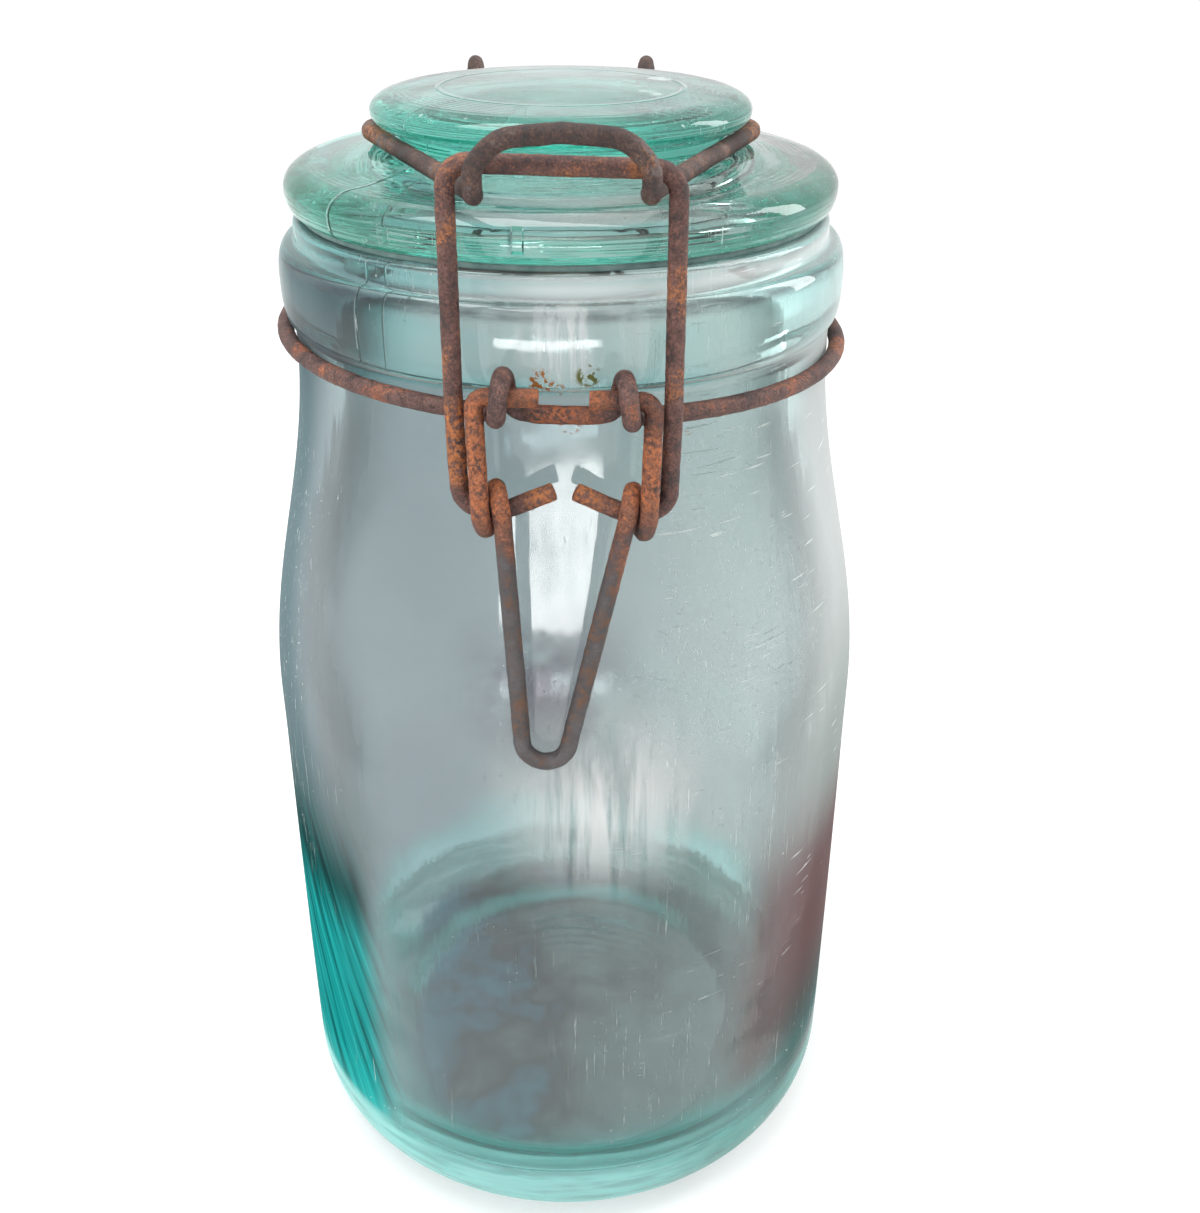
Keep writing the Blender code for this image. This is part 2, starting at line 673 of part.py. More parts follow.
def lid_wire_points():
    """Return the lid wire's centre line from its left eye to its right eye."""
    corner_x = side_corner_x()
    eye = eye_turn(LID_EYE_Y, LID_EYE_Z, -90.0, LID_EYE_TURN_DEG, LID_EYE_OUT_X, LID_EYE_IN_X)
    side_z = shelf_height(corner_x - WIRE_D) + GAP + WIRE_R
    lead_x = LID_EYE_OUT_X + LID_EYE_LEAD_X
    corners = [(0.0, HOOK_FRONT_Y, CROSSBAR_Z),
               (HOOK_X, HOOK_FRONT_Y, CROSSBAR_Z),
               (HOOK_X, HOOK_FRONT_Y, LID_WIRE_Z),
               (HOOK_X, HASP_BAR_Y, LID_WIRE_Z),
               (corner_x, SIDE_CORNER_Y, side_z),
               (lead_x, LID_EYE_Y - LID_EYE_LEAD_Y, LID_EYE_Z - EYE_R),
               eye[0]]
    radii = [0.0, CROSSBAR_BEND_R, HOOK_BEND_R, UNDER_BAR_BEND_R, SIDE_BEND_R,
             LID_EYE_LEAD_BEND_R, 0.0]
    right = joined(rounded(corners, radii), eye)
    return joined(mirrored(right), right[1:])


def rear_link_points():
    """Return the rear link's centre line from its right stub to its left stub."""
    foot = (REAR_PIVOT_Y, PIVOT_Z)
    top = (LID_EYE_Y, LID_EYE_Z)
    corners = [(LINK_STUB_END_X,) + foot, (LINK_LEG_X,) + foot, (LINK_LEG_X,) + top, (0.0,) + top]
    right = rounded(corners, [0.0, TIGHT_BEND_R, LINK_TOP_BEND_R, 0.0])
    return joined(right, mirrored(right)[1:])


def build_glass():
    """Build the jar, its lid and the seal between them."""
    body_glass = make_material("body_glass", AQUA_BODY, GLASS_FINISH)
    lid_glass = make_material("lid_glass", AQUA_LID, GLASS_FINISH)
    rubber = make_material("seal_rubber", AGED_RUBBER, RUBBER_FINISH)
    turned("jar_body", jar_profile(), False, body_glass)
    turned("lid", lid_profile(), False, lid_glass)
    turned("seal_ring", seal_profile(), True, rubber)


def build_closure():
    """Build the five bent wires of the closure and the hinge."""
    ring_rust = make_material("neck_wire_rust", RUST_RED, RUST_FINISH)
    lever_rust = make_material("lever_rust", RUST_ORANGE, RUST_FINISH)
    hasp_rust = make_material("hasp_rust", RUST_BROWN, RUST_FINISH)
    worn_wire = make_material("lid_wire_worn", WORN_DARK, WORN_FINISH)
    link_rust = make_material("link_rust", RUST_BROWN, RUST_FINISH)
    pivot = (0.0, PIVOT_Y, PIVOT_Z)
    lever_eye = (0.0, LEVER_EYE_Y, LEVER_EYE_Z)
    lid_eye = (0.0, LID_EYE_Y, LID_EYE_Z)
    rear_pivot = (0.0, REAR_PIVOT_Y, PIVOT_Z)
    wire("neck_wire", neck_wire_points(), (0.0, 0.0, RING_Z), True, ring_rust)
    wire("lever", lever_points(), pivot, False, lever_rust)
    wire("hasp", hasp_points(), lever_eye, False, hasp_rust)
    wire("lid_wire", lid_wire_points(), lid_eye, False, worn_wire)
    wire("rear_link", rear_link_points(), rear_pivot, False, link_rust)


clear_scene()
build_glass()
build_closure()
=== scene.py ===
"""Looks of the aqua glass canning jar and its rusted wire closure.

Sizes are in millimetres, and each finished mesh is scaled to metres. +Z is up
and the closure's lever is at the front, towards -Y.
"""

import math

import bmesh
import bpy
from mathutils import Matrix, Vector, noise


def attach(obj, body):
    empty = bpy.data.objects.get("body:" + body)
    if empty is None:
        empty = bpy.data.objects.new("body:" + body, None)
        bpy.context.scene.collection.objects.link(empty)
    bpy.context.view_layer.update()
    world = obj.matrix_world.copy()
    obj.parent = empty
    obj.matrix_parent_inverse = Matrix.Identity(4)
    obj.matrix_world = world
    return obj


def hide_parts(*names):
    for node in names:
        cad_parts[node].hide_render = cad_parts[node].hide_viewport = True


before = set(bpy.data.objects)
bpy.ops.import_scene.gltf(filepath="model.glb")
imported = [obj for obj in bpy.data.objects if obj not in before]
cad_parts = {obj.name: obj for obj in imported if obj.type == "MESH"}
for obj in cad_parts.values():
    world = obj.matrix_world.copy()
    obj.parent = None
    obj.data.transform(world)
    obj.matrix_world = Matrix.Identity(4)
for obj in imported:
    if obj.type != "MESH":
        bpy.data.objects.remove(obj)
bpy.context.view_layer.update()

MM = 0.001
CIRCLE = 2.0

# Jar, as in the CAD.
BODY_R = 59.9
NECK_R = 49.7
BEAD_R = 51.7
LIP_R = 48.5
MOUTH_R = 41.5
SHOULDER_FOOT_Z = 110.0
SHOULDER_HEAD_Z = 183.0
BEAD_LOW_Z = 186.5
BEAD_MID_Z = 194.0
BEAD_HIGH_Z = 200.3
LIP_TOP_Z = 204.3
LIP_ROUND = 1.0
LIP_FOOT_RISE = 0.9
BEAD_SHELF = 0.5
CREASE_OUT = 0.12
CREASE_RISE = 0.35
NECK_JOIN_DROP = 1.0
HEEL_H = 16.0
HEEL_POWER = 2.15
BEAD_POWER = 2.6
BODY_SWELL = 0.3
BODY_SWELL_Z = 40.0
BODY_SWELL_SPAN = 60.0
BEARING_OUTER_R = 43.5
BEARING_INNER_R = 38.5
PUSH_UP_H = 4.0
CAVITY_R = 56.0
CAVITY_LOW_R = 54.0
CAVITY_CORNER_R = 14.0
FLOOR_Z = 10.0
FLOOR_RISE = 1.2
CAVITY_LOW_Z = FLOOR_Z + CAVITY_CORNER_R
LOW_WALL_TOP_Z = 70.0
CAVITY_SHOULDER_Z = 112.0

# Lid and seal, as in the CAD.
LID_SEAT_Z = 205.9
FLANGE_R = 49.5
FLANGE_UNDERCUT = 1.6
FLANGE_MID_Z = 209.5
SHELF_R = 44.4
SHELF_Z = 213.3
SHELF_RISE = 2.0
SHELF_POWER = 1.6
WAIST_R = 29.4
WAIST_FOOT_R = 2.6
WAIST_FOOT_H = 1.6
KNOB_R = 33.65
KNOB_UNDER_R = 31.2
KNOB_UNDER_Z = 219.2
KNOB_MID_Z = 221.6
KNOB_TOP_R = 28.0
KNOB_TOP_Z = 224.6
KNOB_CROWN = 0.7
KNOB_UNDER_LIP = 0.6
PLUG_R = 39.6
PLUG_ROUND = 0.5
PLUG_TAPER = 0.6
PLUG_MID_DROP = 2.4
PLUG_EDGE_IN = 1.8
PLUG_EDGE_H = 0.8
PLUG_BOTTOM_Z = 200.9
PLUG_INNER_R = 33.5
PLUG_INNER_ROUND = 0.3
RECESS_R = 29.0
RECESS_Z = 207.0
RECESS_CROWN = 2.5
SEAL_LOW_Z = 204.6
SEAL_HIGH_Z = 205.6
SEAL_INNER_R = 42.2
SEAL_OUTER_R = 47.2
SEAL_SOFT = 0.35

# Closure wire, as in the CAD.
GAP = 0.3
WIRE_R = 1.5
EYE_R = 3.3
TIGHT_BEND_R = 2.0
RING_R = 51.5
RING_Z = 182.8
PIVOT_Y = -55.3
PIVOT_Z = 187.2
FRONT_EYE_X = (8.8, 10.7)
REAR_EYE_X = (19.3, 17.2)
LID_EYE_X = (19.3, 16.6)
LID_EYE_TURN_DEG = 318.0
LEVER_STUB_X = 3.9
LEVER_ELBOW_X = 14.0
LEVER_EYE_Z = 168.6
ARM_LOW_X = 13.3
LEVER_EYE_IN_X = 9.9
HANDLE_DROP = 44.8
HANDLE_TIP_X = -3.6
HANDLE_TIP_R = 4.0
HANDLE_GAP = 0.6
LID_WIRE_Z = 217.4
HOOK_X = 12.9
HOOK_FRONT_Y = -55.2
HOOK_TOP_Z = 226.5
HOOK_SHOULDER = (9.2, 225.8)
HOOK_KNEE_Z = 221.8
LID_WIRE_SIDE = (35.17, 3.0)
LID_WIRE_INNER_R = 32.17
LID_WIRE_REAR_X = 20.5
LID_WIRE_REAR_RUN = 5.0
HASP_BAR_Y = -51.3
HASP_BAR_Z = 221.25
HASP_LEG_X = 17.1
HASP_FOOT_X = (1.7, 8.9, 16.6)
HASP_FOOT_RISE = 3.2
HASP_KNEE = (-53.7, 184.2)
LINK_STUB_X = 14.5
LINK_LEG_X = 23.2
LID_EYE_Y = 51.6
LID_EYE_Z = 218.8
LEAN = math.tan(math.radians(1.9))
LEAN_BACK_Y = 40.0

# Fineness. Light crosses and turns inside thick glass many times.
LIGHT_TURNS = 32
GLASS_TURNS = 192
SEAL_TURNS = 128
ROUND_STEPS = 14
WIRE_SIDES = 20
BEND_STEP_DEG = 7.5
STRAIGHT_STEP = 1.1
SAME_POINT = 0.12
END_BEVEL = 0.3
RUST_DEPTH = 0.12
COARSE_PITS = 0.9
FINE_PITS = 2.6
MERGED = 0.002
STRAIGHT_LEFT = 0.98

# Light. Rays from the camera, reflections and glass see a white room and floor.
ROOM_LIGHT = 0.8
BACKGROUND_WHITE = 1.0
FLOOR_GREY = 0.62
FLOOR_GLOW = 0.48
FLOOR_REACH = 6.0
FLOOR_PLACE = (0.0, 3.0, -0.0003)
GLASS_IOR = 1.52

# Marks on the glass and the wire. Places are in millimetres, each with the size of its mark.
SCRATCH_WHITE = (0.82, 0.86, 0.84)
# White of the painted reflections on the jar's front, lip and bead.
REFLECTION_WHITE = (0.95, 0.95, 0.94)
RUST_STAIN = (0.45, 0.16, 0.04)
MOSS_GREEN = (0.16, 0.17, 0.05)
BARE_METAL = (0.14, 0.128, 0.130)
RUST_STAINS = (((-4.0, -51.0, 189.0), 3.4), ((-1.5, -50.5, 187.3), 3.0),
               ((20.0, -45.0, 178.0), 1.6), ((1.0, -50.0, 181.2), 3.2))
MOSS_STAIN = ((3.8, -51.0, 189.6), 3.6)

# The camera, as it was fitted to the photograph. Lengths are in metres, angles in radians.
CAMERA_PLACE = (0.0, -0.25764, 0.26145)
CAMERA_AHEAD = (0.02472, 0.87733, -0.47925)
CAMERA_YAW = 0.02817
CAMERA_ROLL = 0.004996
CAMERA_LENS_MM = 41.635
CAMERA_SENSOR_MM = 36.0


def cosine_ramp(share):
    """Return a smooth 0 to 1 ramp for a share between 0 and 1."""
    return 0.5 - 0.5 * math.cos(math.pi * min(1.0, max(0.0, share)))


def spaced(first, last, count):
    """Return count values from first to last."""
    return [first + (last - first) * index / (count - 1) for index in range(count)]


def quarter_curve(start, end, leaves_along_z, power, steps=ROUND_STEPS):
    """Return points along a quarter superellipse, without its start."""
    points = []
    for index in range(1, steps):
        angle = 0.5 * math.pi * index / steps
        along = math.sin(angle) ** (2.0 / power)
        across = 1.0 - math.cos(angle) ** (2.0 / power)
        shares = (across, along) if leaves_along_z else (along, across)
        points.append((start[0] + (end[0] - start[0]) * shares[0],
                       start[1] + (end[1] - start[1]) * shares[1]))
    return points + [end]


def dome(edge_radius, edge_height, rise, steps=16):
    """Return points from a shallow dome's centre to its edge."""
    return [(edge_radius * share, edge_height + rise * (1.0 - share * share))
            for share in spaced(0.0, 1.0, steps + 1)]


def body_outer_radius(height):
    """Return the jar's outer radius between the heel and the bead."""
    drop = cosine_ramp((height - SHOULDER_FOOT_Z) / (SHOULDER_HEAD_Z - SHOULDER_FOOT_Z))
    swell = BODY_SWELL * max(0.0, 1.0 - ((height - BODY_SWELL_Z) / BODY_SWELL_SPAN) ** 2)
    return BODY_R + swell - drop * (BODY_R - NECK_R)


def cavity_radius(height):
    """Return the cavity's radius above its lower corner."""
    if height < CAVITY_SHOULDER_Z:
        share = (height - CAVITY_LOW_Z) / (LOW_WALL_TOP_Z - CAVITY_LOW_Z)
        return CAVITY_LOW_R + (CAVITY_R - CAVITY_LOW_R) * cosine_ramp(share)
    share = (height - CAVITY_SHOULDER_Z) / (SHOULDER_HEAD_Z - CAVITY_SHOULDER_Z)
    return CAVITY_R - (CAVITY_R - MOUTH_R) * cosine_ramp(share)


def jar_section():
    """Return the jar's section, from the floor's centre round to the underside."""
    corner = (CAVITY_LOW_R - CAVITY_CORNER_R, FLOOR_Z)
    points = dome(corner[0], FLOOR_Z, FLOOR_RISE)
    points += quarter_curve(corner, (CAVITY_LOW_R, CAVITY_LOW_Z), False, CIRCLE)
    for height in spaced(CAVITY_LOW_Z, SHOULDER_HEAD_Z, 46)[1:]:
        points.append((cavity_radius(height), height))
    edge = (MOUTH_R, LIP_TOP_Z - LIP_ROUND)
    points += [(MOUTH_R, z) for z in spaced(SHOULDER_HEAD_Z, edge[1], 10)[1:]]
    points += quarter_curve(edge, (MOUTH_R + LIP_ROUND, LIP_TOP_Z), True, CIRCLE, 6)
    points += [(r, LIP_TOP_Z) for r in spaced(MOUTH_R + LIP_ROUND, LIP_R - LIP_ROUND, 5)[1:]]
    points += quarter_curve(points[-1], (LIP_R, edge[1]), False, CIRCLE, 6)
    points += [(LIP_R, BEAD_HIGH_Z + LIP_FOOT_RISE),
               (LIP_R + CREASE_OUT, BEAD_HIGH_Z + CREASE_RISE)]
    top = (LIP_R + BEAD_SHELF, BEAD_HIGH_Z)
    points.append(top)
    points += quarter_curve(top, (BEAD_R, BEAD_MID_Z), False, BEAD_POWER)
    points += quarter_curve(points[-1], (NECK_R, BEAD_LOW_Z), True, BEAD_POWER)[:-1]
    points.append((NECK_R + CREASE_OUT, BEAD_LOW_Z - CREASE_RISE))
    for height in spaced(BEAD_LOW_Z - NECK_JOIN_DROP, HEEL_H, 60):
        points.append((body_outer_radius(height), height))
    points += quarter_curve(points[-1], (BEARING_OUTER_R, 0.0), True, HEEL_POWER, 26)
    points += [(r, 0.0) for r in spaced(BEARING_OUTER_R, BEARING_INNER_R, 5)[1:]]
    points += list(reversed(dome(BEARING_INNER_R, 0.0, PUSH_UP_H)))[1:]
    return points


def shelf_height(radius):
    """Return the height of the lid's shelf, which rises towards the waist."""
    share = (SHELF_R - radius) / (SHELF_R - WAIST_R - WAIST_FOOT_R)
    return SHELF_Z + SHELF_RISE * min(1.0, max(0.0, share)) ** SHELF_POWER


def lid_section():
    """Return the lid's section, from the top's centre round to the underside."""
    foot_z = SHELF_Z + SHELF_RISE
    points = dome(KNOB_TOP_R, KNOB_TOP_Z, KNOB_CROWN)
    points += quarter_curve(points[-1], (KNOB_R, KNOB_MID_Z), False, CIRCLE)
    points += quarter_curve(points[-1], (KNOB_UNDER_R, KNOB_UNDER_Z), True, CIRCLE, 8)
    waist_top = (WAIST_R, KNOB_UNDER_Z - KNOB_UNDER_LIP)
    points += quarter_curve(points[-1], waist_top, False, CIRCLE, 5)
    waist_foot = (WAIST_R, foot_z + WAIST_FOOT_H)
    points += [(WAIST_R, z) for z in spaced(waist_top[1], waist_foot[1], 5)[1:]]
    points += quarter_curve(waist_foot, (WAIST_R + WAIST_FOOT_R, foot_z), True, CIRCLE, 8)
    for radius in spaced(WAIST_R + WAIST_FOOT_R, SHELF_R, 12)[1:]:
        points.append((radius, shelf_height(radius)))
    points += quarter_curve(points[-1], (FLANGE_R, FLANGE_MID_Z), False, CIRCLE)
    points += quarter_curve(points[-1], (FLANGE_R - FLANGE_UNDERCUT, LID_SEAT_Z), True, CIRCLE, 8)
    seat = spaced(FLANGE_R - FLANGE_UNDERCUT, PLUG_R + PLUG_ROUND, 6)
    points += [(r, LID_SEAT_Z) for r in seat[1:]]
    points += quarter_curve(points[-1], (PLUG_R, LID_SEAT_Z - PLUG_ROUND), False, CIRCLE, 5)
    points += [(PLUG_R - 0.5 * PLUG_TAPER, LID_SEAT_Z - PLUG_MID_DROP),
               (PLUG_R - PLUG_TAPER, PLUG_BOTTOM_Z + PLUG_EDGE_H)]
    points += quarter_curve(points[-1], (PLUG_R - PLUG_EDGE_IN, PLUG_BOTTOM_Z), True, CIRCLE, 6)
    underside = spaced(PLUG_R - PLUG_EDGE_IN, PLUG_INNER_R + PLUG_INNER_ROUND, 4)
    points += [(r, PLUG_BOTTOM_Z) for r in underside[1:]]
    points += quarter_curve(points[-1], (RECESS_R, RECESS_Z), True, CIRCLE, 10)
    points += list(reversed(dome(RECESS_R, RECESS_Z, RECESS_CROWN)))[1:]
    return points


def seal_section():
    """Return the seal's closed section, with softened edges."""
    inner, outer, low, high = SEAL_INNER_R, SEAL_OUTER_R, SEAL_LOW_Z, SEAL_HIGH_Z
    soft = SEAL_SOFT
    points = [(inner, low + soft), (inner, high - soft)]
    points += quarter_curve(points[-1], (inner + soft, high), True, CIRCLE, 4)
    points.append((outer - soft, high))
    points += quarter_curve(points[-1], (outer, high - soft), False, CIRCLE, 4)
    points.append((outer, low + soft))
    points += quarter_curve(points[-1], (outer - soft, low), True, CIRCLE, 4)
    points.append((inner + soft, low))
    return points + quarter_curve(points[-1], (inner, low + soft), False, CIRCLE, 4)[:-1]


def finished(name, bm, body, node, material):
    """Turn a bmesh in millimetres into a piece that stands for a CAD node."""
    bmesh.ops.remove_doubles(bm, verts=bm.verts, dist=MERGED)
    bmesh.ops.recalc_face_normals(bm, faces=bm.faces)
    bmesh.ops.scale(bm, vec=(MM, MM, MM), verts=bm.verts)
    for face in bm.faces:
        face.smooth = True
    mesh = bpy.data.meshes.new(name)
    bm.to_mesh(mesh)
    bm.free()
    mesh.materials.append(material)
    piece = bpy.data.objects.new(name, mesh)
    bpy.context.scene.collection.objects.link(piece)
    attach(piece, body)
    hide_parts(node)


def turned(section, steps, closed=False):
    """Return a bmesh made by turning a section about the jar's axis."""
    bm = bmesh.new()
    verts = [bm.verts.new((radius, 0.0, height)) for radius, height in section]
    pairs = list(zip(verts, verts[1:]))
    if closed:
        pairs.append((verts[-1], verts[0]))
    edges = [bm.edges.new(pair) for pair in pairs]
    bmesh.ops.spin(bm, geom=verts + edges, cent=(0.0, 0.0, 0.0), axis=(0.0, 0.0, 1.0),
                   dvec=(0.0, 0.0, 0.0), angle=2.0 * math.pi, steps=steps, use_merge=True)
    return bm


def rounded(points, radii):
    """Return the centre line of a wire bent at the given corners."""
    corners = [Vector(point) for point in points]
    turns = [0.0] * len(corners)
    for index in range(1, len(corners) - 1):
        arriving = corners[index] - corners[index - 1]
        turns[index] = arriving.angle(corners[index + 1] - corners[index])
    setbacks = [0.0 if turn < math.radians(1.0) else radius * math.tan(0.5 * turn)
                for radius, turn in zip(radii, turns)]
    for index in range(len(corners) - 1):
        room = (corners[index + 1] - corners[index]).length * STRAIGHT_LEFT
        used = setbacks[index] + setbacks[index + 1]
        if used > room:
            setbacks[index] *= room / used
            setbacks[index + 1] *= room / used
    line = [corners[0]]
    for index in range(1, len(corners) - 1):
        here, setback, turn = corners[index], setbacks[index], turns[index]
        if setback == 0.0:
            line.append(here)
            continue
        before = (corners[index - 1] - here).normalized()
        after = (corners[index + 1] - here).normalized()
        centre = here + (before + after).normalized() * (setback / math.sin(0.5 * turn))
        start = here + before * setback - centre
        end = here + after * setback - centre
        across = start.cross(end).normalized().cross(start)
        steps = max(2, math.ceil(math.degrees(turn) / BEND_STEP_DEG))
        for angle in spaced(0.0, turn, steps + 1):
            line.append(centre + start * math.cos(angle) + across * math.sin(angle))
    return line + [corners[-1]]


def eye_turn(centre_y, centre_z, start_deg, sweep_deg, x_start, x_end):
    """Return points round an eye whose axis runs along X."""
    points = []
    for share in spaced(0.0, 1.0, math.ceil(abs(sweep_deg) / BEND_STEP_DEG) + 1):
        angle = math.radians(start_deg + sweep_deg * share)
        points.append(Vector((x_start + (x_end - x_start) * share,
                              centre_y + EYE_R * math.cos(angle),
                              centre_z + EYE_R * math.sin(angle))))
    return points


def mirrored(points):
    """Return the points mirrored to the other side, in reverse order."""
    return [Vector((-point.x, point.y, point.z)) for point in reversed(points)]


def joined(*runs):
    """Join runs of points, leaving out points that repeat."""
    line = []
    for run in runs:
        for point in run:
            if not line or (point - line[-1]).length > SAME_POINT:
                line.append(point)
    return line


def leaned(points):
    """Lower the closure on its right and raise it on its left, as it hangs."""
    moved = []
    for point in points:
        front_share = cosine_ramp((LEAN_BACK_Y - point.y) / LEAN_BACK_Y)
        moved.append(Vector((point.x, point.y, point.z - point.x * LEAN * front_share)))
    return moved


def neck_point(degrees_from_front, lift=0.0):
    """Return a point on the neck wire's circle."""
    angle = math.radians(degrees_from_front)
    return Vector((RING_R * math.sin(angle), -RING_R * math.cos(angle), RING_Z + lift))


def neck_wire_line():
    """Return the closed centre line of the neck wire, with its four eyes."""
    front_eye = eye_turn(PIVOT_Y, PIVOT_Z, 0.0, 270.0, *FRONT_EYE_X)
    rear_eye = eye_turn(-PIVOT_Y, PIVOT_Z, -90.0, 270.0, *REAR_EYE_X)
    dip = [neck_point(0.0, 0.4), neck_point(5.0, 0.4), neck_point(8.8, 0.8), front_eye[0]]
    rise = rounded(dip, [0.0, 4.0, TIGHT_BEND_R, 0.0])
    side = [neck_point(degrees) for degrees in spaced(18.0, 154.5, 70)]
    bend = [0.0, TIGHT_BEND_R, 0.0]
    leave = rounded([front_eye[-1], neck_point(12.7), side[0]], bend)
    arrive = rounded([side[-1], neck_point(157.4), rear_eye[0]], bend)
    back = [neck_point(degrees) for degrees in (166.0, 169.5, 173.0, 176.5, 180.0)]
    fall = rounded([rear_eye[-1], neck_point(162.2, 0.8), back[0]], bend)
    right = joined(rise, front_eye, leave, side, arrive, rear_eye, fall, back)
    return leaned(joined(right, mirrored(right)[1:-1]))


def handle_line(start):
    """Return the V handle's tip, from its right leg round to its left leg."""
    tip_z = LEVER_EYE_Z - HANDLE_DROP
    centre_z = tip_z + HANDLE_TIP_R
    angles = []
    for x, side in ((start.x, -1.0), (-start.x, 1.0)):
        run = (x - HANDLE_TIP_X, start.z - centre_z)
        reach = math.acos(HANDLE_TIP_R / math.hypot(*run))
        angles.append(math.atan2(run[1], run[0]) + side * reach)
    slope = max((body_outer_radius(height) + HANDLE_GAP + WIRE_R + start.y) / (LEVER_EYE_Z - height)
                for height in spaced(LEVER_EYE_Z, tip_z, 24)[1:])
    points = []
    for angle in spaced(angles[0], angles[1] - 2.0 * math.pi, 24):
        x = HANDLE_TIP_X + HANDLE_TIP_R * math.cos(angle)
        z = centre_z + HANDLE_TIP_R * math.sin(angle)
        points.append(Vector((x, start.y - slope * (start.z - z), z)))
    return points


def lever_line():
    """Return the lever's centre line from its right stub to its left stub."""
    corners = [(LEVER_STUB_X, PIVOT_Y, PIVOT_Z), (LEVER_ELBOW_X, PIVOT_Y, PIVOT_Z),
               (ARM_LOW_X, PIVOT_Y - EYE_R, LEVER_EYE_Z)]
    arm = rounded(corners, [0.0, TIGHT_BEND_R, 0.0])
    eye = eye_turn(PIVOT_Y, LEVER_EYE_Z, 180.0, 360.0, ARM_LOW_X, LEVER_EYE_IN_X)
    right = joined(arm, eye)
    return leaned(joined(right, handle_line(right[-1]), mirrored(right)))


def hasp_line():
    """Return the hasp's centre line from its right stub to its left stub."""
    tip_x, bend_x, heel_x = HASP_FOOT_X
    corners = [(tip_x, PIVOT_Y, LEVER_EYE_Z + HASP_FOOT_RISE), (bend_x, PIVOT_Y, LEVER_EYE_Z),
               (heel_x, PIVOT_Y, LEVER_EYE_Z), (HASP_LEG_X, *HASP_KNEE),
               (HASP_LEG_X, HASP_BAR_Y, HASP_BAR_Z), (0.0, HASP_BAR_Y, HASP_BAR_Z)]
    right = rounded(corners, [0.0, TIGHT_BEND_R, 3.6, 20.0, 3.5, 0.0])
    return leaned(joined(right, mirrored(right)[1:]))


def lid_wire_line():
    """Return the lid wire's centre line from its left eye to its right eye."""
    eye = eye_turn(LID_EYE_Y, LID_EYE_Z, -90.0, LID_EYE_TURN_DEG, *LID_EYE_X)
    shoulder_x, shoulder_z = HOOK_SHOULDER
    corners = [(0.0, HOOK_FRONT_Y, HOOK_TOP_Z), (shoulder_x, HOOK_FRONT_Y, shoulder_z),
               (HOOK_X, HOOK_FRONT_Y, HOOK_KNEE_Z), (HOOK_X, HOOK_FRONT_Y, LID_WIRE_Z),
               (HOOK_X, HASP_BAR_Y, LID_WIRE_Z),
               (*LID_WIRE_SIDE, shelf_height(LID_WIRE_INNER_R) + GAP + WIRE_R),
               (LID_WIRE_REAR_X, LID_EYE_Y - LID_WIRE_REAR_RUN, LID_EYE_Z - EYE_R), eye[0]]
    bends = rounded(corners, [0.0, 7.0, 5.0, 3.4, 4.0, 12.0, 6.0, 0.0])
    right = joined(bends, eye)
    return joined(mirrored(right), right[1:])


def rear_link_line():
    """Return the rear link's centre line from its right stub to its left stub."""
    foot, top = (-PIVOT_Y, PIVOT_Z), (LID_EYE_Y, LID_EYE_Z)
    corners = [(LINK_STUB_X,) + foot, (LINK_LEG_X,) + foot, (LINK_LEG_X,) + top, (0.0,) + top]
    right = rounded(corners, [0.0, TIGHT_BEND_R, 3.5, 0.0])
    return joined(right, mirrored(right)[1:])


def evened(line, closed):
    """Return the line with its long straight runs divided."""
    runs = list(zip(line, line[1:] + line[:1])) if closed else list(zip(line, line[1:]))
    points = []
    for start, end in runs:
        count = max(1, round((end - start).length / STRAIGHT_STEP))
        points += [start.lerp(end, index / count) for index in range(count)]
    return points if closed else points + [line[-1]]


def swept(line, closed):
    """Return a bmesh of a round wire, drawn along a line ring by ring."""
    points = evened(line, closed)
    count = len(points)
    bm = bmesh.new()
    tangents = []
    for index, point in enumerate(points):
        ahead = points[(index + 1) % count] if closed or index < count - 1 else point
        behind = points[index - 1] if closed or index > 0 else point
        tangents.append((ahead - behind).normalized())
    turn = Vector((0.0, 0.0, 1.0)).rotation_difference(tangents[0]).to_matrix().to_4x4()
    ring = bmesh.ops.create_circle(bm, cap_ends=False, segments=WIRE_SIDES, radius=WIRE_R,
                                   matrix=Matrix.Translation(points[0]) @ turn)["verts"]
    edges = list({edge for vert in ring for edge in vert.link_edges})
    first = list(edges)
    for index in range(1, count):
        grown = bmesh.ops.extrude_edge_only(bm, edges=edges)["geom"]
        ring = [item for item in grown if isinstance(item, bmesh.types.BMVert)]
        ringed = set(ring)
        edges = [item for item in grown if isinstance(item, bmesh.types.BMEdge)
                 and item.verts[0] in ringed and item.verts[1] in ringed]
        turn = tangents[index - 1].rotation_difference(tangents[index]).to_matrix().to_4x4()
        move = Matrix.Translation(points[index]) @ turn @ Matrix.Translation(-points[index - 1])
        bmesh.ops.transform(bm, matrix=move, verts=ring)
    if closed:
        bmesh.ops.bridge_loops(bm, edges=first + edges)
    else:
        for rim in (first, edges):
            bmesh.ops.edgeloop_fill(bm, edges=rim)
        bmesh.ops.bevel(bm, geom=first + edges, offset=END_BEVEL, segments=2, profile=0.5,
                        affect="EDGES", material=-1)
    return bm


def roughened(bm, amount):
    """Move the wire's skin in and out a little, as rust eats it."""
    bm.normal_update()
    moves = []
    for vert in bm.verts:
        coarse = noise.noise(vert.co * COARSE_PITS)
        fine = noise.noise(vert.co * FINE_PITS)
        moves.append(vert.normal * amount * (0.6 * coarse + 0.4 * fine))
    for vert, move in zip(bm.verts, moves):
        vert.co += move
    return bm


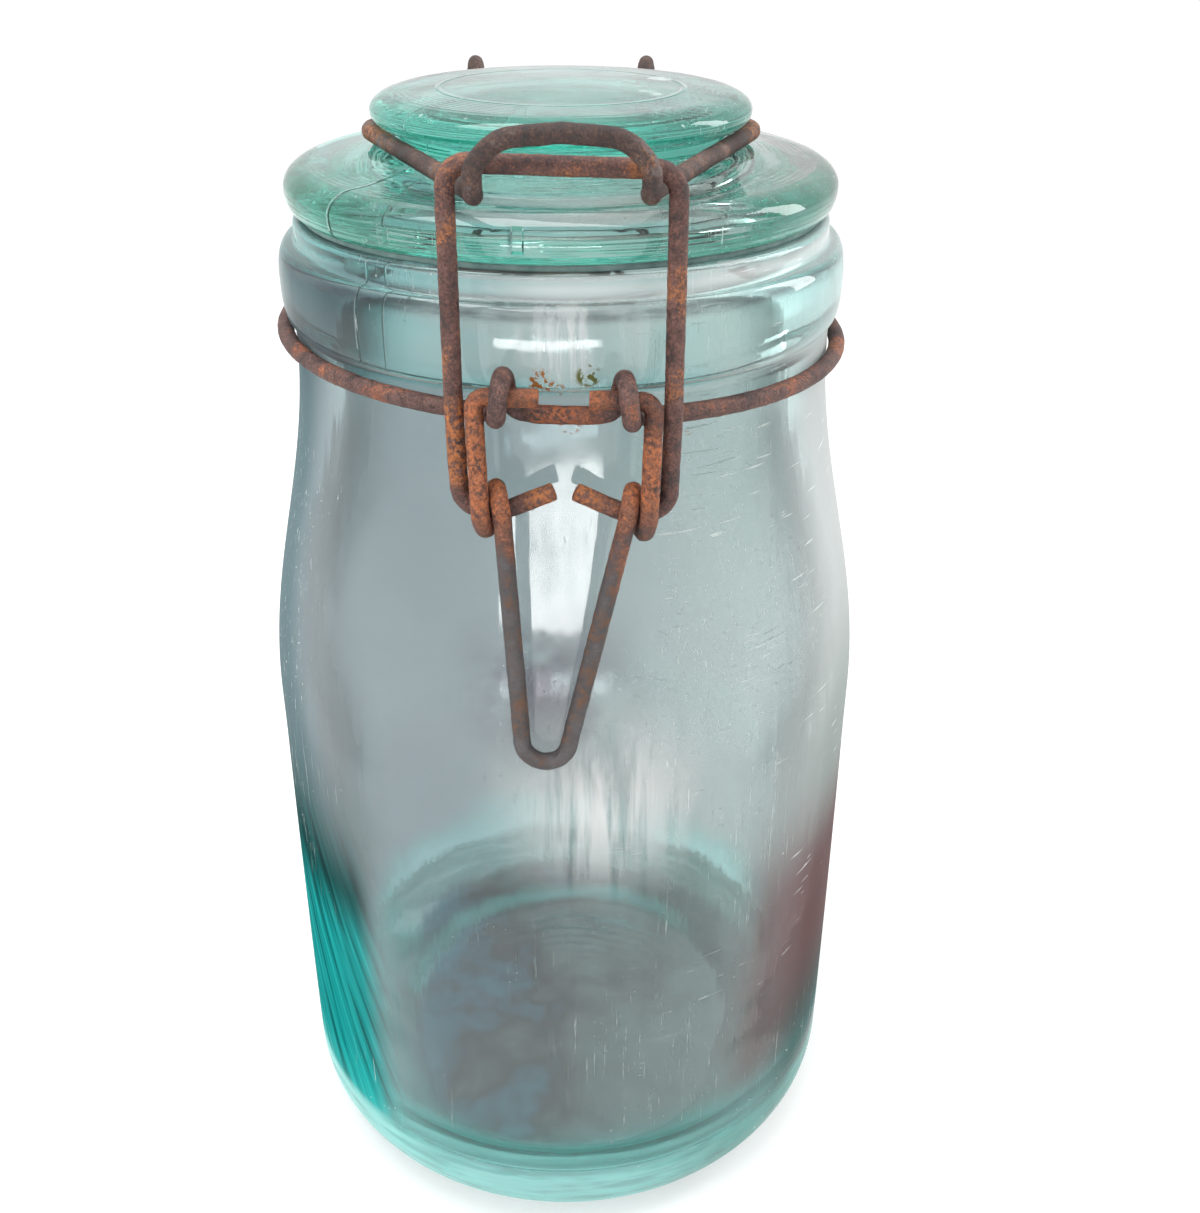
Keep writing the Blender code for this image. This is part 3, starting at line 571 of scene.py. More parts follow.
def add(tree, kind, inputs=None, **settings):
    """Add a node, set it up, and set or link its inputs."""
    item = tree.nodes.new(kind)
    for name, value in settings.items():
        setattr(item, name, value)
    for key, value in (inputs or {}).items():
        if isinstance(value, bpy.types.NodeSocket):
            tree.links.new(value, item.inputs[key])
        else:
            item.inputs[key].default_value = value
    return item


def fresh(name):
    """Return a new material's node tree, its shader and its output."""
    material = bpy.data.materials.new(name)
    material.use_nodes = True
    tree = material.node_tree
    return material, tree, tree.nodes["Principled BSDF"], tree.nodes["Material Output"]


def sums(tree, operation, first, second=0.0, third=0.0, clamp=False):
    """Return the result of a Math node."""
    item = add(tree, "ShaderNodeMath", {0: first, 1: second, 2: third},
               operation=operation, use_clamp=clamp)
    return item.outputs[0]


def spots(tree, coords, scale, detail=3.0, roughness=0.55, stretch=None, shift=(0.0, 0.0, 0.0)):
    """Return a noise pattern on the piece, with spots about 1/scale metres wide."""
    if stretch or any(shift):
        mapping = add(tree, "ShaderNodeMapping", {"Vector": coords, "Location": shift,
                                                  "Scale": stretch or (1.0, 1.0, 1.0)})
        coords = mapping.outputs[0]
    item = add(tree, "ShaderNodeTexNoise", {"Vector": coords, "Scale": scale, "Detail": detail,
                                            "Roughness": roughness})
    return item.outputs["Fac"]


def window(tree, value, low, high, to_low=0.0, to_high=1.0):
    """Return value mapped smoothly from low..high to to_low..to_high."""
    item = add(tree, "ShaderNodeMapRange", {"Value": value, "From Min": low, "From Max": high,
                                            "To Min": to_low, "To Max": to_high},
               interpolation_type="SMOOTHSTEP")
    return item.outputs["Result"]


def ramp(tree, value, stops):
    """Return a ramp's colour. Its own two stops become the first two given, its ends."""
    item = add(tree, "ShaderNodeValToRGB", {"Fac": value})
    elements = item.color_ramp.elements
    for index, (place, colour) in enumerate(stops):
        element = elements[index] if index < 2 else elements.new(place)
        element.position = place
        element.color = (*colour, 1.0)
    return item.outputs["Color"]


def blended(tree, share, first, second, mode="MIX"):
    """Return two colours mixed, where share 1 is the second."""
    item = add(tree, "ShaderNodeMix", {"Factor": share}, data_type="RGBA", blend_type=mode)
    for socket, value in ((item.inputs[6], first), (item.inputs[7], second)):
        if isinstance(value, bpy.types.NodeSocket):
            tree.links.new(value, socket)
        else:
            socket.default_value = (*value, 1.0)
    return item.outputs[2]


def bumped(tree, height, distance, normal=None):
    """Return a normal bent by a height pattern, whose full height is in metres."""
    inputs = {"Height": height, "Distance": distance, "Strength": 1.0}
    if normal is not None:
        inputs["Normal"] = normal
    return add(tree, "ShaderNodeBump", inputs).outputs["Normal"]


def near(tree, coords, place, radius):
    """Return 1 at a place in millimetres on the piece, fading to 0 at radius."""
    item = add(tree, "ShaderNodeVectorMath", {0: coords, 1: tuple(value * MM for value in place)},
               operation="DISTANCE")
    return window(tree, item.outputs["Value"], 0.0, radius * MM, 1.0, 0.0)


def ridge(tree, value, centre, half_width):
    """Return 1 where value is centre, falling to 0 half_width away."""
    away = sums(tree, "ABSOLUTE", sums(tree, "SUBTRACT", value, centre))
    return window(tree, away, 0.0, half_width, 1.0, 0.0)


def product(tree, *values):
    """Return several values multiplied together."""
    result = values[0]
    for value in values[1:]:
        result = sums(tree, "MULTIPLY", result, value)
    return result


def highest(tree, *values):
    """Return the highest of several values."""
    result = values[0]
    for value in values[1:]:
        result = sums(tree, "MAXIMUM", result, value)
    return result


def darkened(tree, share, tint, colour):
    """Return a tint that is multiplied by a colour where share is 1."""
    return blended(tree, share, tint, blended(tree, 1.0, tint, colour, "MULTIPLY"))


def rusted_wire(name, tones, orange_places, worn=0.0, handle=False):
    """Return rusted wire's material, with tones from dark scale to bright rust.

    worn is how bare its high spots are. The handle is scaled and bare low down.
    """
    material, tree, shader, _ = fresh(name)
    coords = add(tree, "ShaderNodeTexCoord").outputs["Object"]
    broad = spots(tree, coords, 130.0, 4.0, 0.6)
    mottle = spots(tree, coords, 650.0, 5.0, 0.65)
    grain = spots(tree, coords, 2600.0, 3.0, 0.7)
    fleck = spots(tree, coords, 1150.0, 4.0, 0.65, shift=(0.3, 0.1, 0.2))
    mixed = sums(tree, "MULTIPLY_ADD", mottle, 0.55, sums(tree, "MULTIPLY", broad, 0.45))
    level = window(tree, mixed, 0.34, 0.62)
    dark, brown, red, orange = tones
    colour = ramp(tree, level, [(0.0, dark), (1.0, red), (0.42, brown)])
    rusty = window(tree, sums(tree, "MULTIPLY_ADD", grain, 0.4, sums(tree, "MULTIPLY", broad, 0.7)),
                   0.58, 0.70)
    for place, radius in orange_places:
        spot = near(tree, coords, place, radius)
        patch = product(tree, window(tree, spot, 0.0, 0.45), window(tree, fleck, 0.40, 0.54))
        rusty = highest(tree, rusty, patch)
    bright = ramp(tree, fleck, [(0.34, tuple(0.42 * part for part in orange)),
                                (0.64, tuple(1.5 * part for part in orange)), (0.46, orange)])
    colour = blended(tree, rusty, colour, bright)
    speck = ramp(tree, grain, [(0.36, (0.66, 0.64, 0.64)), (0.62, (1.25, 1.24, 1.23))])
    colour = blended(tree, 1.0, colour, speck, "MULTIPLY")
    if handle:
        height = add(tree, "ShaderNodeSeparateXYZ", {"Vector": coords}).outputs["Z"]
        wavy = sums(tree, "MULTIPLY_ADD", broad, 0.030, height)
        below = window(tree, wavy, 0.172, 0.184, 1.0, 0.0)
        scale = ramp(tree, mixed, [(0.40, (0.040, 0.036, 0.040)), (0.58, (0.17, 0.085, 0.048)),
                                   (0.50, (0.075, 0.062, 0.060))])
        colour = blended(tree, below, colour, scale)
        bare = product(tree, below, window(tree, broad, 0.36, 0.56, 0.75, 0.15))
    else:
        bare = product(tree, window(tree, mixed, 0.52, 0.62), worn)
    colour = blended(tree, bare, colour, BARE_METAL)
    rough = window(tree, mottle, 0.3, 0.7, 0.48, 0.85)
    rough = sums(tree, "SUBTRACT", rough, sums(tree, "MULTIPLY", bare, 0.38))
    tree.links.new(colour, shader.inputs["Base Color"])
    tree.links.new(rough, shader.inputs["Roughness"])
    tree.links.new(sums(tree, "MULTIPLY", bare, 0.7), shader.inputs["Metallic"])
    normal = bumped(tree, grain, 0.00014, bumped(tree, mottle, 0.00030))
    tree.links.new(normal, shader.inputs["Normal"])
    return material


class Place:
    """Where a point of the glass is, in metres, and its bearing in radians from the front."""

    def __init__(self, tree):
        self.coords = add(tree, "ShaderNodeTexCoord").outputs["Object"]
        self.x, self.y, self.z = add(tree, "ShaderNodeSeparateXYZ", {"Vector": self.coords}).outputs
        flat = add(tree, "ShaderNodeCombineXYZ", {"X": self.x, "Y": self.y}).outputs[0]
        self.radius = add(tree, "ShaderNodeVectorMath", {0: flat}, operation="LENGTH").outputs["Value"]
        self.bearing = sums(tree, "ARCTAN2", self.x, sums(tree, "MULTIPLY", self.y, -1.0))


def lid_tint(tree, at):
    """Return the lid's tint, with painted light and shade: jade on its left and greyer on its right, a lit
    left and a dark right on the knob's side, painted shade on the flange's front left and a painted shadow
    at the notch.
    """
    # Painted light: jade on the left and greyer on the right, as the light fell across the lid.
    side_light = sums(tree, "MULTIPLY_ADD", at.x, 9.0, spots(tree, at.coords, 20.0, 1.0))
    tint = ramp(tree, window(tree, side_light, 0.05, 0.95), [
        (0.0, (0.60, 1.0, 0.94)), (1.0, (0.56, 0.55, 0.54)), (0.45, (1.0, 0.93, 0.91))])
    tint = blended(tree, window(tree, at.z, 0.2236, 0.2242), tint, (0.50, 0.68, 0.65))
    # Painted light and shade on the knob's side: lit jade on the left, dark on the right.
    knob_side = product(tree, window(tree, at.z, 0.2160, 0.2172), window(tree, at.z, 0.2236, 0.2230), 0.9)
    knob_light_and_shade = blended(tree, window(tree, at.x, 0.0, 0.025), (0.46, 1.0, 0.93), (0.32, 0.42, 0.40))
    tint = blended(tree, knob_side, tint, knob_light_and_shade)
    # Painted shade low on the flange's front left.
    tint = darkened(tree, near(tree, at.coords, (-30.0, -38.0, 210.0), 20.0), tint, (0.60, 0.50, 0.49))
    tint = blended(tree, 1.0, tint, (0.80, 0.72, 0.72), "MULTIPLY")
    # Painted shadow: a dark line along the left edge of the notch on the flange.
    notch_shadow = product(tree, ridge(tree, at.x, -0.0080, 0.0005), window(tree, at.y, 0.0, -0.01),
                   ridge(tree, at.z, 0.2098, 0.0030))
    return blended(tree, notch_shadow, tint, (0.06, 0.14, 0.14))


def neck_tint(tree, at):
    """Return the tint of the bead and the lip, with painted shade: a darker left, a painted dark
    reflection on the bead's left and a painted shadow line between the bead and the lip.
    """
    # The bead's sides are tinted deeper than its front, with painted shade making the left side darker.
    aside = window(tree, sums(tree, "ABSOLUTE", at.x), 0.016, 0.046)
    sides = blended(tree, window(tree, at.x, -0.02, 0.02), (0.58, 0.85, 0.82), (0.80, 0.97, 0.94))
    tint = blended(tree, aside, (0.97, 1.0, 0.97), sides)
    # Painted dark reflection on the left of the bead.
    dark_reflection = product(tree, window(tree, at.bearing, -0.54, -0.84), window(tree, at.y, 0.015, -0.024),
                     window(tree, at.z, 0.2015, 0.1985))
    tint = blended(tree, dark_reflection, tint, (0.06, 0.11, 0.13))
    # Painted shadow line on the bead's top, under the lip, broken along its length.
    broken = spots(tree, at.coords, 1.0, 3.0, 0.6, stretch=(120.0, 120.0, 900.0))
    line = product(tree, ridge(tree, at.z, 0.1988, 0.0017), window(tree, at.y, -0.01, -0.03),
                   window(tree, broken, 0.3, 0.6, 0.35, 0.9))
    return blended(tree, line, tint, (0.12, 0.09, 0.11))


def upper_tint(tree, at, facing):
    """Return the jar's tint above its floor, with painted light and shade: grey on the left and paler on
    the right, a painted shadow behind the handle and painted dark edges.
    """
    # Painted light: grey on the left and paler on the right, as the light fell across the jar.
    side_light = sums(tree, "MULTIPLY_ADD", at.x, 9.0, spots(tree, at.coords, 14.0, 1.0))
    side_light = window(tree, side_light, 0.1, 0.9)
    tint = ramp(tree, side_light, [(0.0, (0.69, 0.715, 0.735)), (1.0, (0.85, 0.90, 0.885))])
    tint = blended(tree, window(tree, at.z, 0.182, 0.190), tint, neck_tint(tree, at))
    # Painted shadow of the handle on the jar behind it.
    handle_shadow = product(tree, near(tree, at.coords, (-3.0, -58.0, 136.0), 22.0),
                            window(tree, spots(tree, at.coords, 70.0, 3.0), 0.38, 0.5))
    tint = blended(tree, handle_shadow, tint, (0.44, 0.38, 0.42))
    # Painted dark edges where the glass turns away, dark teal on the left and grey low on the right, with
    # the right edge left light high up.
    edge_shade = product(tree, window(tree, facing, 0.34, 0.80), window(tree, at.z, 0.188, 0.180))
    right = blended(tree, window(tree, at.z, 0.100, 0.150), (0.52, 0.56, 0.54), (0.95, 0.95, 0.95))
    return darkened(tree, edge_shade, tint, blended(tree, side_light, (0.27, 0.40, 0.42), right))


def teal_glow_and_refractions(tree, at):
    """Return the teal of thick glass, painted where light glows in it, with painted refraction streaks
    that climb to one side, darker above.
    """
    climb = add(tree, "ShaderNodeCombineXYZ", {"X": sums(tree, "MULTIPLY_ADD", at.bearing, 0.137, at.z),
                                               "Y": sums(tree, "MULTIPLY", at.z, 0.12)}).outputs[0]
    teal = ramp(tree, spots(tree, climb, 170.0, 3.0, 0.6), [
        (0.36, (0.003, 0.17, 0.165)), (0.70, (0.03, 0.66, 0.62)), (0.46, (0.006, 0.38, 0.36))])
    return darkened(tree, window(tree, at.z, 0.062, 0.080), teal, (0.5, 0.22, 0.22))


def body_tint(tree, at, facing):
    """Return the jar's tint, grey above and aqua where it is thick, with painted light and shade, and how
    clouded it is, which also makes the painted teal and the painted heel glow opaque.
    """
    inner = product(tree, window(tree, at.radius, 0.0565, 0.0550), window(tree, at.z, 0.0075, 0.0090))
    outer = window(tree, inner, 1.0, 0.0)
    low_outside = product(tree, outer, window(tree, at.z, 0.034, 0.024))
    tint = blended(tree, low_outside, upper_tint(tree, at, facing), (0.42, 0.88, 0.85))
    # The low wall, with painted light: the thick glass's teal painted on the left where light glows in it,
    # a painted maroon reflection on the right and painted shade at its edges.
    wall = window(tree, at.z, 0.006, 0.022)
    oblique = window(tree, facing, 0.34, 0.54)
    # Painted light: the thick glass's teal painted only on the left front, where light glowed in it.
    left = product(tree, wall, window(tree, at.z, 0.114, 0.076), window(tree, at.bearing, -0.58, -0.80),
                   window(tree, at.y, 0.030, -0.015), oblique)
    teal = teal_glow_and_refractions(tree, at)
    tint = blended(tree, left, tint, teal)
    # Painted maroon reflection on the right of the low wall.
    maroon_reflection = product(tree, window(tree, at.bearing, 0.46, 0.70), window(tree, at.z, 0.104, 0.074),
                   window(tree, at.z, 0.018, 0.040), window(tree, at.y, 0.0, -0.01), oblique)
    tint = darkened(tree, maroon_reflection, tint, (0.44, 0.22, 0.23))
    # Painted dark edges low on the wall, teal on the left and dark on the right.
    edge = product(tree, wall, window(tree, at.z, 0.060, 0.020), window(tree, facing, 0.45, 0.75))
    low_edge_shade = blended(tree, window(tree, at.x, -0.01, 0.03), teal, (0.06, 0.15, 0.14))
    tint = blended(tree, edge, tint, low_edge_shade)
    # The floor, with a tint from blue to brown that is partly residue and partly painted shade of what
    # lies under and around the jar, a painted teal glow in the corner and a painted bright aqua highlight.
    across = sums(tree, "MULTIPLY_ADD", at.x, 7.0, spots(tree, at.coords, 60.0, 4.0))
    # Partly residue, partly painted shade: bluer on the left, darker and browner on the right.
    residue_and_shade = ramp(tree, across, [(0.20, (0.050, 0.200, 0.330)), (0.85, (0.42, 0.35, 0.37)),
                               (0.40, (0.048, 0.024, 0.026))])
    on_floor = product(tree, inner, window(tree, at.z, 0.016, 0.012), window(tree, at.x, -0.046, -0.036))
    tint = blended(tree, on_floor, tint, residue_and_shade)
    # Painted light: a bright teal glow on the floor's corner toward the left.
    corner = product(tree, inner, window(tree, at.z, 0.032, 0.018), window(tree, at.radius, 0.042, 0.047),
                     window(tree, sums(tree, "MULTIPLY_ADD", at.x, 0.6, at.y), 0.008, -0.010))
    tint = blended(tree, corner, tint, (0.06, 0.66, 0.62))
    # Painted highlight: a bright aqua band round the floor's rim at the back.
    arc_glint = product(tree, inner, ridge(tree, at.radius, 0.0405, 0.0042), window(tree, at.y, -0.006, 0.006),
                  window(tree, at.x, 0.036, 0.026))
    tint = blended(tree, arc_glint, tint, (0.34, 1.0, 1.0))
    # The heel, painted pale and bright as if lit through, paler on the left, and a little clouded so that
    # the painted colour shows.
    # Painted light: the heel's underside pale aqua, brighter on the left.
    foot = blended(tree, window(tree, at.x, 0.0, 0.03), (0.62, 1.0, 0.97), (0.40, 0.66, 0.62))
    tint = blended(tree, product(tree, window(tree, at.z, 0.016, 0.010), outer), tint, foot)
    # Painted light: a pale glowing band round the heel, brighter on the left.
    wavy = spots(tree, at.coords, 1.0, 2.0, stretch=(60.0, 60.0, 420.0))
    heel = product(tree, window(tree, at.z, 0.0215, 0.0165), window(tree, wavy, 0.3, 0.6, 0.6, 1.0),
                   window(tree, sums(tree, "MULTIPLY_ADD", at.z, -0.9, at.radius), 0.0400, 0.0425))
    pale = blended(tree, window(tree, at.x, 0.01, 0.04), (0.50, 1.0, 0.95), (0.26, 0.52, 0.48))
    tint = blended(tree, heel, tint, pale)
    deep = blended(tree, window(tree, at.x, -0.05, 0.03), (0.70, 0.71, 0.72), (0.75, 0.745, 0.75))
    tint = darkened(tree, window(tree, at.z, 0.018, 0.034), tint, deep)
    # Glass made less clear where the painted teal is, so that it shows.
    opaque_teal_glow = product(tree, left, outer, window(tree, at.z, 0.104, 0.080), 0.76)
    return tint, sums(tree, "MAXIMUM", sums(tree, "MULTIPLY", heel, 0.60), opaque_teal_glow)


def scratched(tree, at):
    """Return where the glass is scratched, rubbed or specked, and a broad patchiness."""
    fine = spots(tree, at.coords, 1.0, 4.0, 0.75, stretch=(1900.0, 1900.0, 46.0))
    patchy = window(tree, spots(tree, at.coords, 26.0, 2.0), 0.48, 0.66)
    dripped = product(tree, window(tree, at.x, 0.010, 0.018),
                      window(tree, spots(tree, at.coords, 24.0, 1.0), 0.42, 0.52))
    scuffed = product(tree, window(tree, fine, 0.60, 0.70), highest(tree, patchy, dripped),
                      window(tree, at.z, 0.022, 0.030))
    level = spots(tree, at.coords, 1.0, 2.0, 0.5, stretch=(95.0, 95.0, 1500.0), shift=(3.0, 1.0, 2.0))
    rubbed = product(tree, window(tree, level, 0.66, 0.72), window(tree, at.x, 0.004, 0.020),
                     window(tree, at.z, 0.05, 0.06),
                     window(tree, spots(tree, at.coords, 40.0, 1.0), 0.5, 0.6))
    specks = product(tree, window(tree, spots(tree, at.coords, 900.0, 1.0), 0.74, 0.80), patchy)
    return highest(tree, scuffed, rubbed, specks), patchy


def lid_relief(tree, at, normal):
    """Return the lid's normal, with turning rings, two mould seams, a notch and a rim line."""
    rings = sums(tree, "SINE", sums(tree, "MULTIPLY", sums(tree, "ADD", at.radius, at.z), 6300.0))
    uneven = window(tree, spots(tree, at.coords, 60.0, 1.0), 0.35, 0.7)
    normal = bumped(tree, sums(tree, "MULTIPLY", rings, uneven), 0.00002, normal)
    seams = highest(tree, ridge(tree, at.bearing, -0.86, 0.011), ridge(tree, at.bearing, 2.28, 0.011))
    normal = bumped(tree, seams, 0.00035, normal)
    notch = product(tree, window(tree, ridge(tree, at.x, -0.0068, 0.0014), 0.2, 0.5),
                    window(tree, at.y, 0.0, -0.01),
                    window(tree, ridge(tree, at.z, 0.2098, 0.0026), 0.1, 0.4))
    normal = bumped(tree, notch, 0.0009, normal)
    rim_line = product(tree, ridge(tree, at.radius, 0.0215, 0.0007), window(tree, at.z, 0.223, 0.224))
    return bumped(tree, rim_line, 0.0003, normal)


def body_relief(tree, at, normal):
    """Return the jar's normal, with two mould seams on the neck and rings underneath."""
    seams = highest(tree, ridge(tree, at.bearing, -0.70, 0.006), ridge(tree, at.bearing, 2.44, 0.006))
    normal = bumped(tree, product(tree, seams, window(tree, at.z, 0.185, 0.188)), 0.00030, normal)
    rings = sums(tree, "SINE", sums(tree, "MULTIPLY", at.radius, 1900.0))
    return bumped(tree, product(tree, rings, window(tree, at.z, 0.012, 0.008)), 0.00003, normal)


def painted_reflections(tree, at, streaky):
    """Return where the jar gets painted white reflections: in front, on the lip's edge and on the bead."""
    # Painted reflection of a bright window low on the front.
    front = product(tree, near(tree, at.coords, (7.0, -59.0, 112.0), 27.0),
                    window(tree, streaky, 0.24, 0.56))
    # Painted highlight on the lip's top edge, front left.
    lip = product(tree, ridge(tree, at.z, 0.2022, 0.0030), window(tree, at.radius, 0.046, 0.048),
                  window(tree, at.bearing, -0.5, 0.0), 0.8)
    # Painted reflection of a lamp on the bead's front.
    bead = product(tree, near(tree, at.coords, (2.0, -51.7, 195.0), 16.0),
                   window(tree, streaky, 0.34, 0.6), 0.75)
    return highest(tree, front, lip, bead)


def rust_stains(tree, at):
    """Return where rust has run from the wire on to the jar, and where there is moss."""
    grit = window(tree, spots(tree, at.coords, 700.0, 4.0, 0.7), 0.47, 0.56)
    front = window(tree, at.y, -0.030, -0.045)
    rust = highest(tree, *[product(tree, near(tree, at.coords, place, size), grit)
                           for place, size in RUST_STAINS])
    moss = product(tree, near(tree, at.coords, *MOSS_STAIN), grit)
    return (product(tree, window(tree, rust, 0.25, 0.6), front),
            product(tree, window(tree, moss, 0.25, 0.6), front))


def glass(name, absorbed, density, lid):
    """Return old aqua glass, with waves, mould marks, scratches, a few stains, and painted light and shade
    in its colour.
    """
    material, tree, shader, output = fresh(name)
    at = Place(tree)
    waves = spots(tree, at.coords, 38.0 if lid else 30.0, 2.0, 0.45)
    drawn = spots(tree, at.coords, 1.0, 2.0, 0.6, stretch=(260.0, 260.0, 14.0))
    normal = bumped(tree, drawn, 0.00005, bumped(tree, waves, 0.0007))
    normal = lid_relief(tree, at, normal) if lid else body_relief(tree, at, normal)
    worn, patchy = scratched(tree, at)
    clear = sums(tree, "MULTIPLY_ADD", worn, -0.5, 0.98)
    rough = sums(tree, "MULTIPLY_ADD", worn, 0.4, window(tree, patchy, 0.0, 1.0, 0.01, 0.045))
    if lid:
        colour = blended(tree, worn, lid_tint(tree, at), SCRATCH_WHITE)
    else:
        facing = add(tree, "ShaderNodeLayerWeight", {"Blend": 0.5}).outputs["Facing"]
        tint, clouded = body_tint(tree, at, facing)
        streaky = spots(tree, at.coords, 1.0, 3.0, 0.6, stretch=(300.0, 300.0, 22.0))
        # Painted white reflections, where the glass is made less clear so that they show.
        reflection_patches = painted_reflections(tree, at, streaky)
        colour = blended(tree, reflection_patches, blended(tree, worn, tint, SCRATCH_WHITE), REFLECTION_WHITE)
        clear = sums(tree, "SUBTRACT", clear, clouded, clamp=True)
        clear = sums(tree, "MULTIPLY_ADD", reflection_patches, -0.75, clear)
        # The glass is made less clear at its edges so that the painted dark edges show.
        rim = product(tree, window(tree, facing, 0.40, 0.76),
                      window(tree, at.z, 0.186, 0.192, 0.92, 0.34), window(tree, at.z, 0.012, 0.030))
        clear = sums(tree, "MULTIPLY", clear, sums(tree, "SUBTRACT", 1.0, rim), clamp=True)
        dull = product(tree, near(tree, at.coords, (-1.0, -53.0, 170.0), 60.0),
                       window(tree, streaky, 0.3, 0.7, 0.5, 1.0))
        rust, moss = rust_stains(tree, at)
        colour = blended(tree, moss, blended(tree, rust, colour, RUST_STAIN), MOSS_GREEN)
        dirt = highest(tree, rust, moss)
        clear = sums(tree, "MULTIPLY", clear, sums(tree, "MULTIPLY_ADD", dirt, -0.85, 1.0))
        rough = sums(tree, "MULTIPLY_ADD", dirt, 0.6, sums(tree, "MULTIPLY_ADD", dull, 0.13, rough))
    tree.links.new(colour, shader.inputs["Base Color"])
    tree.links.new(clear, shader.inputs["Transmission Weight"])
    tree.links.new(rough, shader.inputs["Roughness"])
    tree.links.new(normal, shader.inputs["Normal"])
    shader.inputs["IOR"].default_value = GLASS_IOR
    shader.inputs["Specular IOR Level"].default_value = 0.0
    inside = add(tree, "ShaderNodeVolumeAbsorption", {"Color": (*absorbed, 1.0), "Density": density})
    tree.links.new(inside.outputs["Volume"], output.inputs["Volume"])
    return material


def rubber():
    """Return the seal's aged rubber."""
    material, tree, shader, _ = fresh("aged_rubber")
    coords = add(tree, "ShaderNodeTexCoord").outputs["Object"]
    bloom = spots(tree, coords, 240.0, 4.0, 0.6)
    grain = spots(tree, coords, 1600.0, 3.0, 0.6)
    colour = ramp(tree, bloom, [(0.35, (0.12, 0.21, 0.20)), (0.65, (0.24, 0.35, 0.33))])
    tree.links.new(colour, shader.inputs["Base Color"])
    tree.links.new(window(tree, grain, 0.3, 0.7, 0.6, 0.85), shader.inputs["Roughness"])
    tree.links.new(bumped(tree, grain, 0.00005), shader.inputs["Normal"])
    return material


def build_glass():
    """Make the jar, the lid and the seal."""
    body_glass = glass("aqua_body_glass", (0.10, 0.80, 0.77), 16.0, lid=False)
    lid_glass = glass("aqua_lid_glass", (0.05, 0.90, 0.80), 19.0, lid=True)
    finished("jar_glass", turned(jar_section(), GLASS_TURNS), "jar", "jar_body",
             body_glass)
    finished("lid_glass", turned(lid_section(), GLASS_TURNS), "lid", "lid",
             lid_glass)
    finished("seal_rubber", turned(seal_section(), SEAL_TURNS, closed=True), "jar", "seal_ring",
             rubber())


def build_closure():
    """Make the five bent wires of the closure and the hinge."""
    ring = rusted_wire("ring_rust", ((0.035, 0.020, 0.019), (0.10, 0.052, 0.045),
                                     (0.19, 0.107, 0.092), (0.31, 0.100, 0.042)),
                       [((0.0, -51.0, 184.0), 8.0), ((50.0, -14.0, 183.0), 6.0),
                        ((-44.0, -24.0, 185.0), 4.0)], worn=0.2)
    lever = rusted_wire("lever_rust", ((0.050, 0.026, 0.021), (0.16, 0.060, 0.036),
                                       (0.28, 0.122, 0.075), (0.34, 0.112, 0.044)),
                        [((-12.0, -57.0, 178.0), 15.0), ((13.0, -57.0, 176.0), 9.0),
                         ((0.0, -55.0, 187.0), 9.0)], handle=True)
    hasp = rusted_wire("hasp_rust", ((0.035, 0.022, 0.021), (0.105, 0.050, 0.042),
                                     (0.21, 0.105, 0.085), (0.34, 0.120, 0.040)),
                       [((0.0, -55.0, 171.0), 9.0), ((-17.0, -54.0, 180.0), 10.0)], worn=0.25)
    worn_wire = rusted_wire("worn_wire", ((0.026, 0.019, 0.019), (0.065, 0.038, 0.032),
                                          (0.125, 0.075, 0.060), (0.27, 0.110, 0.045)),
                            [((33.0, 0.0, 217.0), 9.0), ((-32.0, -6.0, 217.0), 10.0)], worn=0.8)
    link = rusted_wire("link_rust", ((0.04, 0.024, 0.020), (0.10, 0.048, 0.036),
                                     (0.19, 0.085, 0.060), (0.30, 0.105, 0.035)),
                       [((20.0, 53.0, 219.0), 8.0), ((-20.0, 53.0, 219.0), 8.0)])
    plan = (("neck_wire", neck_wire_line(), True, "jar", "neck_wire_rust", ring),
            ("lever", lever_line(), False, "lever", "lever_rust", lever),
            ("hasp", hasp_line(), False, "hasp", "hasp_rust", hasp),
            ("lid_wire", lid_wire_line(), False, "lid", "lid_wire_worn", worn_wire),
            ("rear_link", rear_link_line(), False, "rear_link", "link_rust", link))
    for node, line, closed, body, slot, material in plan:
        bm = roughened(swept(line, closed), RUST_DEPTH)
        finished(node + "_rusted", bm, body, node, material)


def sees_background(tree):
    """Return 1 for a ray from the camera, a reflection or glass, which sees the white background."""
    path = add(tree, "ShaderNodeLightPath").outputs
    return highest(tree, path["Is Camera Ray"], path["Is Glossy Ray"], path["Is Transmission Ray"])


def build_floor():
    """Make a pale floor that shows white and keeps the jar's shadow."""
    bm = bmesh.new()
    bmesh.ops.create_grid(bm, x_segments=1, y_segments=1, size=FLOOR_REACH,
                          matrix=Matrix.Translation(FLOOR_PLACE))
    mesh = bpy.data.meshes.new("floor")
    bm.to_mesh(mesh)
    bm.free()
    floor = bpy.data.objects.new("floor", mesh)
    bpy.context.scene.collection.objects.link(floor)
    material, tree, shader, output = fresh("pale_floor")
    shader.inputs["Roughness"].default_value = 0.9
    shader.inputs["Base Color"].default_value = (FLOOR_GREY, FLOOR_GREY, FLOOR_GREY, 1.0)
    strength = sums(tree, "MULTIPLY", sees_background(tree), FLOOR_GLOW)
    glow = add(tree, "ShaderNodeEmission", {"Color": (1.0, 1.0, 1.0, 1.0), "Strength": strength})
    both = add(tree, "ShaderNodeAddShader", {0: shader.outputs[0], 1: glow.outputs[0]})
    tree.links.new(both.outputs[0], output.inputs["Surface"])
    mesh.materials.append(material)


def build_world():
    """Light the room softly and evenly."""
    world = bpy.data.worlds.new("studio")
    bpy.context.scene.world = world
    world.use_nodes = True
    tree = world.node_tree
    back = tree.nodes["Background"]
    strength = sums(tree, "MULTIPLY_ADD", sees_background(tree), BACKGROUND_WHITE - ROOM_LIGHT, ROOM_LIGHT)
    back.inputs["Color"].default_value = (1.0, 1.0, 1.0, 1.0)
    tree.links.new(strength, back.inputs["Strength"])


